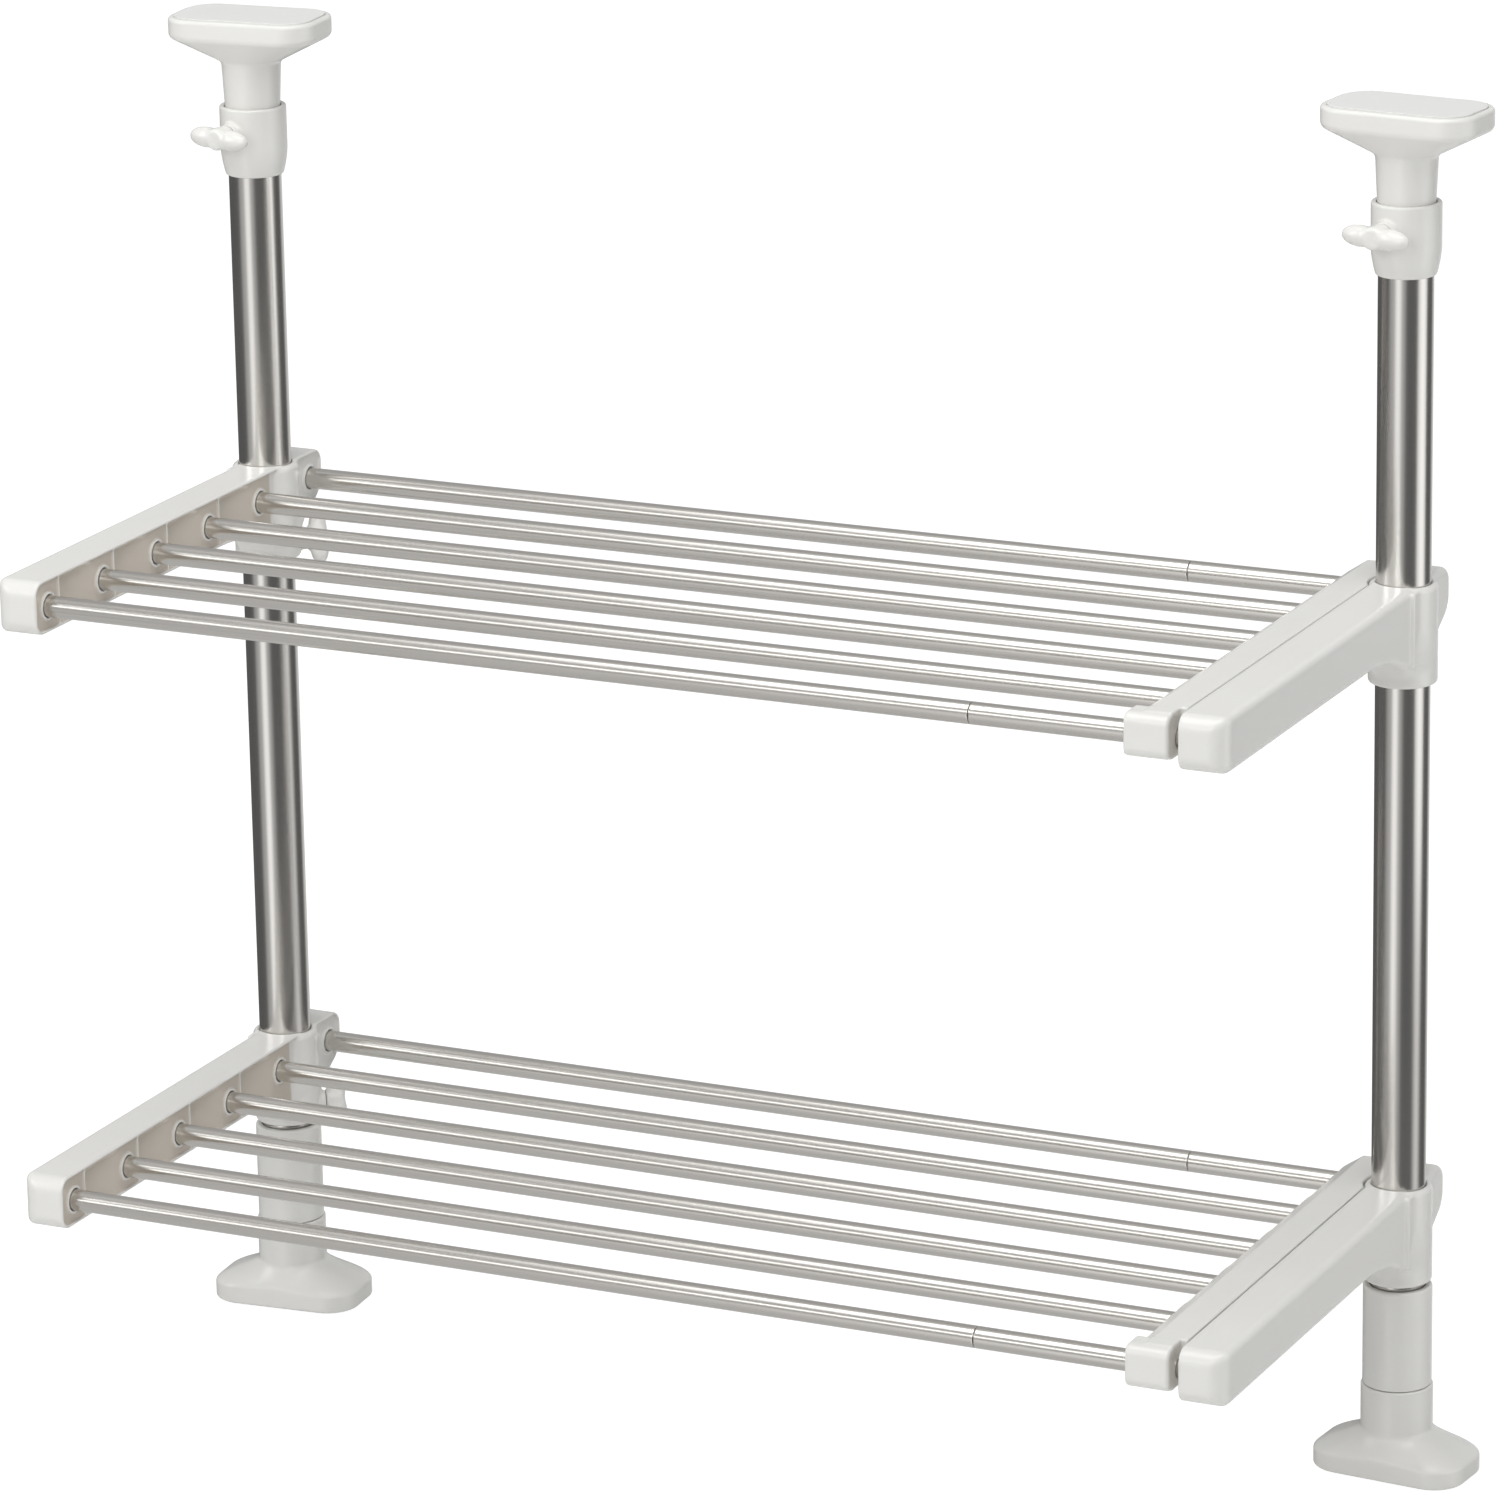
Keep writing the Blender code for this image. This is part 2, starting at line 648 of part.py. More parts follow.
def bar_section():
    """Return the joiner bar's section as (inboard distance, height) points."""
    return [
        (BAR_RIGHT_FACE, BAR_BOTTOM),
        (BAR_RIGHT_FACE, BAR_TOP - BAR_SHOULDER),
        (BAR_RIGHT_FACE + 0.5 * BAR_SHOULDER, BAR_TOP),
        (BAR_TOP_LEFT, BAR_TOP),
        (BAR_TOP_LEFT + BAR_SHOULDER, BAR_TOP - 0.5 * BAR_SHOULDER),
        (BAR_LEFT_FACE, BAR_TOP - BAR_SLOPE_DROP),
        (BAR_LEFT_FACE, BAR_BOTTOM + BAR_SHOULDER),
        (BAR_LEFT_FACE - BAR_SHOULDER, BAR_BOTTOM),
    ]


def make_joiner_bar(tier, parent):
    """Make the bar that ties the outer tubes' right ends, before the right arm."""
    name = f"{tier}_joiner_bar"
    front = BAR_FRONT_STEP - ARM_FRONT_REACH
    rear = ARM_REAR_REACH - BAR_REAR_STEP
    body = prism(bar_section(), front, rear, lambda u, v, w: (-u, w, v))
    bar = solid(name, body, "plastic", parent)

    def tool(label, geometry):
        return solid(f"{name}_{label}", geometry, parent=parent)

    low = (BAR_BLOCK_INSET - BAR_LEFT_FACE, -ARM_FRONT_REACH)
    high = (-BAR_RIGHT_FACE - BAR_BLOCK_INSET, BAR_BLOCK_LENGTH - ARM_FRONT_REACH)
    sections = [
        rounded_rectangle(low, high, BAR_SHOULDER, BAR_BOTTOM, BAR_SHOULDER, 2),
        rounded_rectangle(low, high, BAR_SHOULDER, BAR_BOTTOM + BAR_SHOULDER, 0.0, 2),
        rounded_rectangle(low, high, BAR_SHOULDER, BAR_TOP - BAR_SHOULDER, 0.0, 2),
        rounded_rectangle(low, high, BAR_SHOULDER, BAR_TOP - SEAT_GAP, BAR_SHOULDER, 2),
    ]
    combine(bar, tool("end_block", loft(sections)), "UNION")
    scallops = []
    low_z, high_z = BAR_BOTTOM - CUT_OVERRUN, BAR_TOP + CUT_OVERRUN
    for rod_y in rod_offsets()[1:]:
        middle = rod_y + 0.5 * ROD_PITCH
        reach = 0.5 * ROD_PITCH - SOCKET_BOSS_RADIUS
        outline = [
            (-BAR_LEFT_FACE - BAR_SCALLOP_DEPTH, middle - reach),
            (-BAR_LEFT_FACE + BAR_SCALLOP_DEPTH, middle - reach + BAR_SCALLOP_RAMP),
            (-BAR_LEFT_FACE + BAR_SCALLOP_DEPTH, middle + reach - BAR_SCALLOP_RAMP),
            (-BAR_LEFT_FACE - BAR_SCALLOP_DEPTH, middle + reach),
        ]
        scallop = prism(outline, low_z, high_z, lambda u, v, w: (u, v, w))
        scallops.append(scallop)
    combine(bar, tool("scallops", joined(scallops)), "DIFFERENCE")
    clear_radius = RING_RADIUS + BAR_RING_GAP
    ring_relief = turned([(clear_radius, low_z), (clear_radius, high_z)])
    combine(bar, tool("ring_relief", ring_relief), "DIFFERENCE")
    wide = TUBE_RADIUS + SEAT_GAP
    narrow = inner_rod_radius() + SLIDE_GAP
    inner_end = BAR_RIGHT_FACE + BAR_END_WALL
    bores = []
    for rod_y in rod_offsets():
        profile = [
            (wide, -BAR_LEFT_FACE - CUT_OVERRUN),
            (wide, -inner_end),
            (narrow, -inner_end),
            (narrow, 0.0),
        ]
        bores.append(transformed(turned(profile, TUBE_SIDES), lengthwise(0.0, rod_y)))
    combine(bar, tool("bores", joined(bores)), "DIFFERENCE")


def wing_outline(sign, middle, span, inset):
    """Return one wing's outline as (across, along) points, drawn in by inset."""
    centre = sign * (span - WING_LOBE_RADIUS)
    outline = [(sign * WING_ROOT_OFFSET, middle - WING_ROOT_HALF + inset)]
    for step in range(WING_LOBE_STEPS + 1):
        angle = math.pi * (step / WING_LOBE_STEPS - 0.5)
        across = centre + sign * (WING_LOBE_RADIUS - inset) * math.cos(angle)
        outline.append((across, middle + (WING_LOBE_DEPTH - inset) * math.sin(angle)))
    outline.append((sign * WING_ROOT_OFFSET, middle + WING_ROOT_HALF - inset))
    return outline


def wing(sign, middle, span):
    """Return one boat-shaped wing: flat sides with bevelled rims."""
    half = 0.5 * WING_THICKNESS
    sections = []
    for level, inset in (
        (-half, WING_BEVEL),
        (WING_BEVEL - half, 0.0),
        (half - WING_BEVEL, 0.0),
        (half, WING_BEVEL),
    ):
        outline = wing_outline(sign, middle, span, inset)
        sections.append([(level, across, along) for across, along in outline])
    return loft(sections)


def turned_hub(tip, hub_start, shank_radius):
    """Return the turned part of a thumb screw, from its tip to its cap."""
    hub_end = hub_start + WING_HUB_LENGTH
    return turned(
        [
            (shank_radius, tip),
            (shank_radius, hub_start),
            (WING_HUB_RADIUS, hub_start),
            (WING_HUB_RADIUS, hub_end - WING_HUB_EDGE),
            (WING_HUB_RADIUS - WING_HUB_EDGE, hub_end),
        ],
        SMALL_SIDES,
    )


def make_wing_screw(name, parent, height, angle, boss_reach, tip, shank_radius, span, roll):
    """Make a thumb screw whose origin lies on its axis at the post's axis."""
    hub_start = boss_reach + SEAT_GAP
    hub = turned_hub(tip, hub_start, shank_radius)
    matrix = outward(angle, 0.0) @ Matrix.Rotation(roll, 4, "Z")
    at = (0.0, 0.0, height)
    screw = solid(name, transformed(hub, matrix), "plastic", parent, at)
    for label, sign in (("wing_a", 1.0), ("wing_b", -1.0)):
        body = transformed(wing(sign, hub_start + WING_MIDDLE, span), matrix)
        made = solid(f"{name}_{label}", body, parent=parent, location=at)
        combine(screw, made, "UNION")


def make_post(hand, parent):
    """Make the steel post with the hole that its collar screw passes."""
    inner = POST_RADIUS - POST_WALL
    body = tube(POST_RADIUS, inner, POST_BOTTOM_Z, POST_TOP_Z, ROUND_SIDES)
    post = solid(f"{hand}_post", body, "steel_tube", parent)
    radius = COLLAR_SHANK_RADIUS + SEAT_GAP
    hole = turned([(radius, inner - CUT_OVERRUN), (radius, POST_RADIUS + CUT_OVERRUN)], SMALL_SIDES)
    matrix = outward(COLLAR_SCREW_ANGLE, COLLAR_SCREW_Z)
    combine(post, solid(f"{hand}_post_hole", transformed(hole, matrix), parent=parent), "DIFFERENCE")


def make_collar(hand, parent):
    """Make the collar on the post's top, with its mouth, boss and screw hole."""
    name = f"{hand}_collar"
    bore = POST_RADIUS + SEAT_GAP
    ledge = POST_TOP_Z + SEAT_GAP
    stem_bore = STEM_RADIUS + SLIDE_GAP
    mouth = PAD_NECK_RADIUS + COLLAR_MOUTH_GAP
    mouth_floor = COLLAR_TOP_Z - PAD_NECK_SEAT - SEAT_GAP
    profile = [
        (bore, COLLAR_BOTTOM_Z),
        (bore + COLLAR_FOOT_WALL, COLLAR_BOTTOM_Z),
        (COLLAR_RADIUS, COLLAR_BOTTOM_Z + COLLAR_TAPER),
        (COLLAR_RADIUS, COLLAR_TOP_Z - SLEEVE_EDGE),
        (COLLAR_RADIUS - SLEEVE_EDGE, COLLAR_TOP_Z),
        (mouth, COLLAR_TOP_Z),
        (mouth, mouth_floor),
        (stem_bore, mouth_floor),
        (stem_bore, ledge),
        (bore, ledge),
    ]
    collar = solid(name, turned_hollow(profile), "plastic", parent)
    matrix = outward(COLLAR_SCREW_ANGLE, COLLAR_SCREW_Z)
    middle = 0.5 * (POST_RADIUS + COLLAR_RADIUS)
    boss = turned([(COLLAR_BOSS_RADIUS, middle), (COLLAR_BOSS_RADIUS, COLLAR_BOSS_REACH)], TUBE_SIDES)
    combine(collar, solid(f"{name}_boss", transformed(boss, matrix), parent=parent), "UNION")
    radius = COLLAR_SHANK_RADIUS + SEAT_GAP
    hole_end = COLLAR_BOSS_REACH + CUT_OVERRUN
    hole = turned([(radius, STEM_RADIUS - CUT_OVERRUN), (radius, hole_end)], SMALL_SIDES)
    combine(collar, solid(f"{name}_hole", transformed(hole, matrix), parent=parent), "DIFFERENCE")


def stem_top():
    """Return the height of the stem's end, which stops where the pad's flare begins."""
    return PAD_TOP_Z - PAD_BAND - PAD_FLARE


def make_stem(hand, parent):
    """Make the inner tube that slides in the post and carries the pad."""
    top = stem_top()
    body = tube(STEM_RADIUS, STEM_RADIUS - STEM_WALL, top - STEM_LENGTH, top, ROUND_SIDES)
    solid(f"{hand}_stem", body, "steel_tube", parent)


def centred_rectangle(length, width, radius, height, inset=0.0):
    """Return a level rounded rectangle round the Z axis."""
    low = (-0.5 * length, -0.5 * width)
    high = (0.5 * length, 0.5 * width)
    return rounded_rectangle(low, high, radius, height, inset)


def sole_geometry(length, width, radius, bottom, top):
    """Return the thin sole that lies in a pad's or foot's recess."""
    sections = [
        centred_rectangle(length, width, radius, height, SOLE_MARGIN) for height in (bottom, top)
    ]
    return loft(sections)


def sole_recess(length, width, radius, bottom, top):
    """Return the cutter of the recess that takes a sole, with its clearance."""
    margin = SOLE_MARGIN - SEAT_GAP
    return loft(
        [centred_rectangle(length, width, radius, height, margin) for height in (bottom, top)]
    )


def make_pad(hand, parent):
    """Make the flared pad that presses on the cabinet, and its sole."""
    name = f"{hand}_pad"
    turn = (0.0, 0.0, PAD_TURN if hand == "left" else -PAD_TURN)
    size = (PAD_LENGTH, PAD_WIDTH, PAD_CORNER_RADIUS)
    top = PAD_TOP_Z - SOLE_PROUD
    band_low = top - PAD_BAND
    neck_bottom = COLLAR_TOP_Z - PAD_NECK_SEAT
    flare = flare_levels(band_low, band_low - PAD_FLARE, PAD_FLARE_POWER)
    sections = [
        plate_ring(size, height, share=share, radius=PAD_NECK_RADIUS)
        for height, share in [(neck_bottom, 1.0), *reversed(flare)]
    ]
    sections.append(plate_ring(size, top - PAD_BEVEL))
    sections.append(plate_ring(size, top, PAD_BEVEL))
    pad = solid(name, loft(sections), "plastic", parent, turn=turn)
    radius = STEM_RADIUS + SEAT_GAP
    bore = turned([(radius, neck_bottom - CUT_OVERRUN), (radius, stem_top() + SEAT_GAP)])
    combine(pad, solid(f"{name}_bore", bore, parent=parent, turn=turn), "DIFFERENCE")
    low = PAD_TOP_Z - SOLE_THICKNESS
    recess = sole_recess(*size, low - SEAT_GAP, PAD_TOP_Z + CUT_OVERRUN)
    combine(pad, solid(f"{name}_recess", recess, parent=parent, turn=turn), "DIFFERENCE")
    solid(f"{name}_sole", sole_geometry(*size, low, PAD_TOP_Z), "rubber", parent, turn=turn)


def make_foot(hand, parent):
    """Make the flared foot with the spigot that its adjuster turns on."""
    name = f"{hand}_foot"
    turn = (0.0, 0.0, FOOT_TURN if hand == "left" else -FOOT_TURN)
    size = (FOOT_LENGTH, FOOT_WIDTH, FOOT_CORNER_RADIUS)
    lip_low = SLEEVE_BOTTOM_Z + SLEEVE_FLANGE + SEAT_GAP
    sections = [
        plate_ring(size, SOLE_PROUD, FOOT_EDGE),
        plate_ring(size, SOLE_PROUD + FOOT_EDGE),
    ]
    for height, share in flare_levels(FOOT_BAND, FOOT_BAND + FOOT_FLARE, FOOT_FLARE_POWER):
        sections.append(plate_ring(size, height, share=share, radius=FOOT_NECK_RADIUS))
    for radius, height in (
        (FOOT_NECK_RADIUS, FOOT_NECK_TOP),
        (SPIGOT_RADIUS, FOOT_NECK_TOP),
        (SPIGOT_RADIUS, lip_low),
        (SPIGOT_RADIUS + SPIGOT_LIP, lip_low),
        (SPIGOT_RADIUS, lip_low + SPIGOT_LIP_HEIGHT),
    ):
        sections.append(plate_ring(size, height, share=1.0, radius=radius))
    foot = solid(name, loft(sections), "plastic", parent, turn=turn)
    recess = sole_recess(*size, -CUT_OVERRUN, SOLE_THICKNESS + SEAT_GAP)
    combine(foot, solid(f"{name}_recess", recess, parent=parent, turn=turn), "DIFFERENCE")
    solid(f"{name}_sole", sole_geometry(*size, 0.0, SOLE_THICKNESS), "rubber", parent, turn=turn)


def make_adjuster(hand, parent):
    """Make the threaded sleeve on the foot and the plug in the post's end."""
    flange_top = SLEEVE_BOTTOM_Z + SLEEVE_FLANGE
    flange_bore = SPIGOT_RADIUS + SEAT_GAP
    bore = POST_RADIUS + SLIDE_GAP
    profile = [
        (flange_bore, SLEEVE_BOTTOM_Z),
        (SLEEVE_RADIUS, SLEEVE_BOTTOM_Z),
        (SLEEVE_RADIUS, SLEEVE_TOP_Z - SLEEVE_EDGE),
        (SLEEVE_RADIUS - SLEEVE_EDGE, SLEEVE_TOP_Z),
        (bore, SLEEVE_TOP_Z),
        (bore, flange_top),
        (flange_bore, flange_top),
    ]
    solid(f"{hand}_adjuster_sleeve", turned_hollow(profile), "plastic", parent)
    shoulder = POST_BOTTOM_Z - SEAT_GAP
    stub = POST_RADIUS - POST_WALL - SEAT_GAP
    plug = turned(
        [
            (POST_RADIUS, shoulder - PLUG_THREAD_LENGTH),
            (POST_RADIUS, shoulder),
            (stub, shoulder),
            (stub, shoulder + PLUG_STUB_LENGTH),
        ],
        TUBE_SIDES,
    )
    solid(f"{hand}_thread_plug", plug, "plastic", parent)


def make_post_assembly(hand):
    """Make one post with everything from its foot up to its pad."""
    side = -1.0 if hand == "left" else 1.0
    parent = station(f"{hand}_post_station", (side * 0.5 * POST_SPACING, 0.0, 0.0))
    make_foot(hand, parent)
    make_adjuster(hand, parent)
    make_post(hand, parent)
    make_collar(hand, parent)
    make_wing_screw(
        f"{hand}_collar_screw",
        parent,
        COLLAR_SCREW_Z,
        COLLAR_SCREW_ANGLE,
        COLLAR_BOSS_REACH,
        STEM_RADIUS + SEAT_GAP,
        COLLAR_SHANK_RADIUS,
        COLLAR_WING_SPAN,
        0.0,
    )
    make_stem(hand, parent)
    make_pad(hand, parent)


def make_shelf(tier, rod_z):
    """Make one shelf with its brackets, rods, joiner bar and clamp screws."""
    shelf = station(f"{tier}_shelf_station", (0.0, 0.0, rod_z))
    half = 0.5 * POST_SPACING
    for hand, side in (("left", -1.0), ("right", 1.0)):
        corner = station(f"{tier}_{hand}_corner", (side * half, 0.0, 0.0))
        corner.parent = shelf
        make_bracket(tier, hand, corner)
        inboard = 0.0 if hand == "left" else math.pi
        make_wing_screw(
            f"{tier}_{hand}_clamp_screw",
            corner,
            CLAMP_SCREW_DROP,
            inboard - side * CLAMP_SCREW_ANGLE,
            CLAMP_BOSS_REACH,
            POST_RADIUS + SEAT_GAP,
            CLAMP_SHANK_RADIUS,
            CLAMP_WING_SPAN,
            CLAMP_SCREW_ROLL,
        )
        if hand == "right":
            make_joiner_bar(tier, corner)
    make_rods(tier, shelf)


def main():
    """Build the whole rack."""
    clear_scene()
    for hand in ("left", "right"):
        make_post_assembly(hand)
    for tier, rod_z in (("lower", LOWER_ROD_Z), ("upper", UPPER_ROD_Z)):
        make_shelf(tier, rod_z)
    bpy.context.view_layer.update()


main()
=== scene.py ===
"""Dressed model of an expandable two-tier kitchen rack.

The rack is braced between a worktop and the underside of a cabinet.  Two steel
posts stand on screw feet and end in pads on telescopic stems; two shelves of
six steel rods reach forward from white moulded brackets that clamp on the posts.

Metres, +Z up.  The origin lies on the worktop, midway between the posts and on
the plane through their axes.  The shelves reach out to the front, -Y.
"""

import logging
import math
from collections.abc import Callable, Sequence
from dataclasses import dataclass, replace
from enum import Enum

import bpy
import numpy as np
from mathutils import Matrix, Vector


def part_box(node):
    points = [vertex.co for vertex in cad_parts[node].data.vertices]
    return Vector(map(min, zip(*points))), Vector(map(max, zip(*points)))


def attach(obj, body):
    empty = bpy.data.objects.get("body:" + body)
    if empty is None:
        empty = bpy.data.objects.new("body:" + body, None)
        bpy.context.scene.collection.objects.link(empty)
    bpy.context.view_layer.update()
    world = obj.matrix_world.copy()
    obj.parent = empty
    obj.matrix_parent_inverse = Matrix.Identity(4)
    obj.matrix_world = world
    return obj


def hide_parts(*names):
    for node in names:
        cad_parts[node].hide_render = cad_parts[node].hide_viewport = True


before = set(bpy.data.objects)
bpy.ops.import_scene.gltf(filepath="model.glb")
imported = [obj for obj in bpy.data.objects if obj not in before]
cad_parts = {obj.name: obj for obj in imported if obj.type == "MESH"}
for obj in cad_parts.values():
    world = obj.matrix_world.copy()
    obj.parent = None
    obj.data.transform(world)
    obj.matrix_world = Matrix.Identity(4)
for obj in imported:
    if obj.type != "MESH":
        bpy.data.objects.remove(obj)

LOG = logging.getLogger("kitchen_rack")
Array = np.ndarray
Field = Callable[[Array, Array, Array], Array]
Triple = tuple[float, float, float]

ROD_COUNT = 6
# Play between pieces that are fitted into each other
SEAT_GAP = 0.0003
# Radii of the bores for the shelves' tubes and rods
TUBE_BORE, ROD_BORE = 0.0053, 0.0043
# Bearing of the left clamp screws, and their height from the rods
CLAMP_ANGLE, CLAMP_DROP = math.radians(35.0), -0.0266
# Distance from a rounded corner to the point that keeps its sides flat
LEAD = 0.0004
# Roundings too small to see
SHARP, CRISP, FINE = 0.0001, 0.0002, 0.0003
# Cells that a casting's grid reaches past its form
CASTING_MARGIN = 3.0
# Rings beside the collar screw's hole, in radii of its shank
RINGS_BESIDE_HOLE = np.array([-1.6, -1.3, 1.2])
DEGREES = 180.0 / math.pi
WHITE: Triple = (1.0, 1.0, 1.0)


class Hand(Enum):
    """The two sides of the rack."""

    LEFT = "left"
    RIGHT = "right"

    @property
    def inboard(self) -> float:
        """Direction of X towards the rack's middle."""
        return 1.0 if self is Hand.LEFT else -1.0


class Tier(Enum):
    """The two shelves of the rack."""

    LOWER = "lower"
    UPPER = "upper"


class Slot(Enum):
    """The finishes of the rack's pieces."""

    PLASTIC = "white_plastic"
    POST = "steel_post"
    ROD = "steel_rod"
    SOLE = "grey_sole"


def centre_of(node: str) -> Vector:
    """Return the middle of a solid's box."""
    low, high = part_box(node)
    return (low + high) * 0.5


def length_of(vectors: Array) -> Array:
    """Return the lengths of vectors held in the last axis."""
    return np.sqrt((vectors * vectors).sum(axis=-1))


def laid_out(place: Vector, angle: float, roll: float = 0.0) -> Matrix:
    """Return the place of a piece made along Z, rolled round itself and laid along a bearing."""
    turn = Matrix.Rotation(angle, 4, "Z") @ Matrix.Rotation(0.5 * math.pi, 4, "Y")
    return Matrix.Translation(place) @ turn @ Matrix.Rotation(roll, 4, "Z")


def along_bearing(angle: float, x: Array, y: Array) -> tuple[Array, Array]:
    """Return the level distances along a bearing and beside it."""
    cosine, sine = math.cos(angle), math.sin(angle)
    return cosine * x + sine * y, cosine * y - sine * x


def towards(azimuth: float, elevation: float) -> Vector:
    """Return the direction at an azimuth that turns from -Y towards +X."""
    level = math.cos(elevation)
    return Vector((math.sin(azimuth) * level, -math.cos(azimuth) * level, math.sin(elevation)))


@dataclass(frozen=True)
class Surface:
    """A closed surface as points, four-sided faces and any larger end faces."""

    points: Array
    quads: Array
    ends: tuple[Array, ...] = ()
    # Each point's share of painted shade in the pockets, if any
    recess: Array | None = None

    def placed(self, matrix: Matrix) -> "Surface":
        """Return the surface moved by a matrix that doesn't mirror it."""
        turn = np.array(matrix.to_3x3())
        shift = np.array(matrix.translation)
        return replace(self, points=self.points @ turn.T + shift)

    def to_object(self, name: str, smooth: bool = True) -> bpy.types.Object:
        """Put the surface into a new object at the origin.

        Args:
            name: The object's name.
            smooth: Whether its faces are shaded smooth.

        Returns:
            The object, linked to the scene.
        """
        mesh = bpy.data.meshes.new(name)
        faces = self.quads.tolist() + [end.tolist() for end in self.ends]
        mesh.from_pydata(self.points.tolist(), [], faces)
        mesh.polygons.foreach_set("use_smooth", np.full(len(faces), smooth))
        mesh.update()
        # The points' shares of painted shade go to the mesh as an attribute
        if self.recess is not None:
            share = mesh.attributes.new("recess", "FLOAT", "POINT")
            share.data.foreach_set("value", self.recess)
        made = bpy.data.objects.new(name, mesh)
        bpy.context.scene.collection.objects.link(made)
        return made


def grid_quads(rows: int, columns: int, close_rows: bool) -> Array:
    """Return the faces of a grid whose columns run round and close.

    Args:
        rows: Number of rings.
        columns: Number of points on each ring, counterclockwise from above.
        close_rows: Whether the last ring joins the first.

    Returns:
        An array of four corners a face, pointing out where the rings follow
        their profile counterclockwise.
    """
    row = np.arange(rows if close_rows else rows - 1)[:, None]
    column = np.arange(columns)[None, :]
    after = (column + 1) % columns
    above = (row + 1) % rows
    row, above = row * columns, above * columns
    corners = (row + column, row + after, above + after, above + column)
    return np.stack(np.broadcast_arrays(*corners), axis=-1).reshape(-1, 4)


def filleted(rows: Sequence[Triple], closed: bool = True, steps: int = 6) -> Array:
    """Round the corners of a flat outline.

    Each corner becomes an arc that touches both of its sides.  The arc's centre
    lies on the corner's bisector at radius / sin(half angle), and its points
    turn from one touching direction to the other in equal angles.  One more
    point beside each end of the arc keeps the flat sides flat in shading.

    Args:
        rows: Each corner's place across and up, and its radius.
        closed: Whether the last point joins the first; if not, both ends stay
            as they are and their radii aren't read.
        steps: Number of chords in an arc.

    Returns:
        The rounded outline, (m, 2).
    """
    table = np.array(rows)
    corners, radii = table[:, :2], table[:, 2]
    if not closed:
        radii[[0, -1]] = 1.0
    behind = np.roll(corners, 1, axis=0) - corners
    ahead = np.roll(corners, -1, axis=0) - corners
    reach_behind, reach_ahead = length_of(behind), length_of(ahead)
    behind = behind / reach_behind[:, None]
    ahead = ahead / reach_ahead[:, None]
    half = 0.5 * np.arccos(np.clip((behind * ahead).sum(axis=1), -1.0, 1.0))
    touch = radii / np.tan(half)
    if not closed:
        touch[[0, -1]] = 0.0
    bisector = behind + ahead
    bisector = bisector / length_of(bisector)[:, None]
    centre = corners + bisector * (radii / np.sin(half))[:, None]
    start = (corners + behind * touch[:, None] - centre) / radii[:, None]
    end = (corners + ahead * touch[:, None] - centre) / radii[:, None]
    sweep = (math.pi - 2.0 * half)[:, None]
    share = np.linspace(0.0, 1.0, steps + 1)[None, :]
    from_start = (np.sin((1.0 - share) * sweep) / np.sin(sweep))[..., None]
    from_end = (np.sin(share * sweep) / np.sin(sweep))[..., None]
    turned_to = start[:, None, :] * from_start + end[:, None, :] * from_end
    arc = centre[:, None, :] + radii[:, None, None] * turned_to
    free_behind = reach_behind - touch - np.roll(touch, 1)
    free_ahead = reach_ahead - touch - np.roll(touch, -1)
    rest_behind = touch + np.minimum(LEAD, 0.25 * free_behind)
    rest_ahead = touch + np.minimum(LEAD, 0.25 * free_ahead)
    lead_in = corners + behind * rest_behind[:, None]
    lead_out = corners + ahead * rest_ahead[:, None]
    rounded = np.concatenate([lead_in[:, None], arc, lead_out[:, None]], axis=1)
    if closed:
        return rounded.reshape(-1, 2)
    return np.concatenate([corners[:1], rounded[1:-1].reshape(-1, 2), corners[-1:]])


def tube_outline(radius: float, wall: float, ends: tuple[float, float], share: float) -> Array:
    """Return a tube's section with its edges rounded by a share of the wall."""
    inner, edge, (low, high) = radius - wall, share * wall, ends
    rows = [(inner, low, edge), (radius, low, edge), (radius, high, edge), (inner, high, edge)]
    return filleted(rows, steps=3)


def around_z(radius: Array, bearing: Array, height: Array) -> Array:
    """Return points from radii, bearings and heights that broadcast together."""
    parts = (radius * np.cos(bearing), radius * np.sin(bearing), height)
    return np.stack(np.broadcast_arrays(*parts), axis=-1)


def turned(outline: Array, columns: int, closed: bool = True) -> Surface:
    """Turn an outline round Z.

    The point at (u, v) is (r(u) cos v, r(u) sin v, z(u)), where r and z are the
    outline's radius and height and v runs once round.

    Args:
        outline: Radius and height of each ring, (n, 2).
        columns: Number of points on each ring.
        closed: Whether the outline closes, else its ends are covered.

    Returns:
        The turned surface.
    """
    bearing = np.linspace(0.0, 2.0 * math.pi, columns, endpoint=False)
    return ringed(around_z(outline[:, :1], bearing, outline[:, 1:]), closed)


def ringed(grid: Array, closed: bool) -> Surface:
    """Join rings of points, (rows, columns, 3), and cover the ends of an open row of rings."""
    rows, columns = grid.shape[:2]
    ends: tuple[Array, ...] = ()
    if not closed:
        last = (rows - 1) * columns
        ends = (np.arange(columns)[::-1], np.arange(last, last + columns))
    return Surface(grid.reshape(-1, 3), grid_quads(rows, columns, closed), ends)


def rectangle_reach(bearing: Array, half_x: Array, half_y: Array, corner: Array) -> Array:
    """Return how far a rounded rectangle reaches from its middle along a bearing.

    Along the sides it is half size / cosine to that side.  In the corners it is
    the far root of the ray's distance to the corner's centre, ahead + sqrt(
    ahead^2 - |centre|^2 + corner^2), ahead being the centre's share on the ray.
    """
    across = np.maximum(np.abs(np.cos(bearing)), 1e-9)
    along = np.maximum(np.abs(np.sin(bearing)), 1e-9)
    core_x, core_y = half_x - corner, half_y - corner
    ahead = core_x * across + core_y * along
    inside = np.maximum(ahead * ahead - core_x * core_x - core_y * core_y + corner * corner, 0.0)
    to_side, to_end = half_x / across, half_y / along
    on_arc = ahead + np.sqrt(inside)
    beyond_side = np.where(to_end * across <= core_x, to_end, on_arc)
    return np.where(to_side * along <= core_y, to_side, beyond_side)


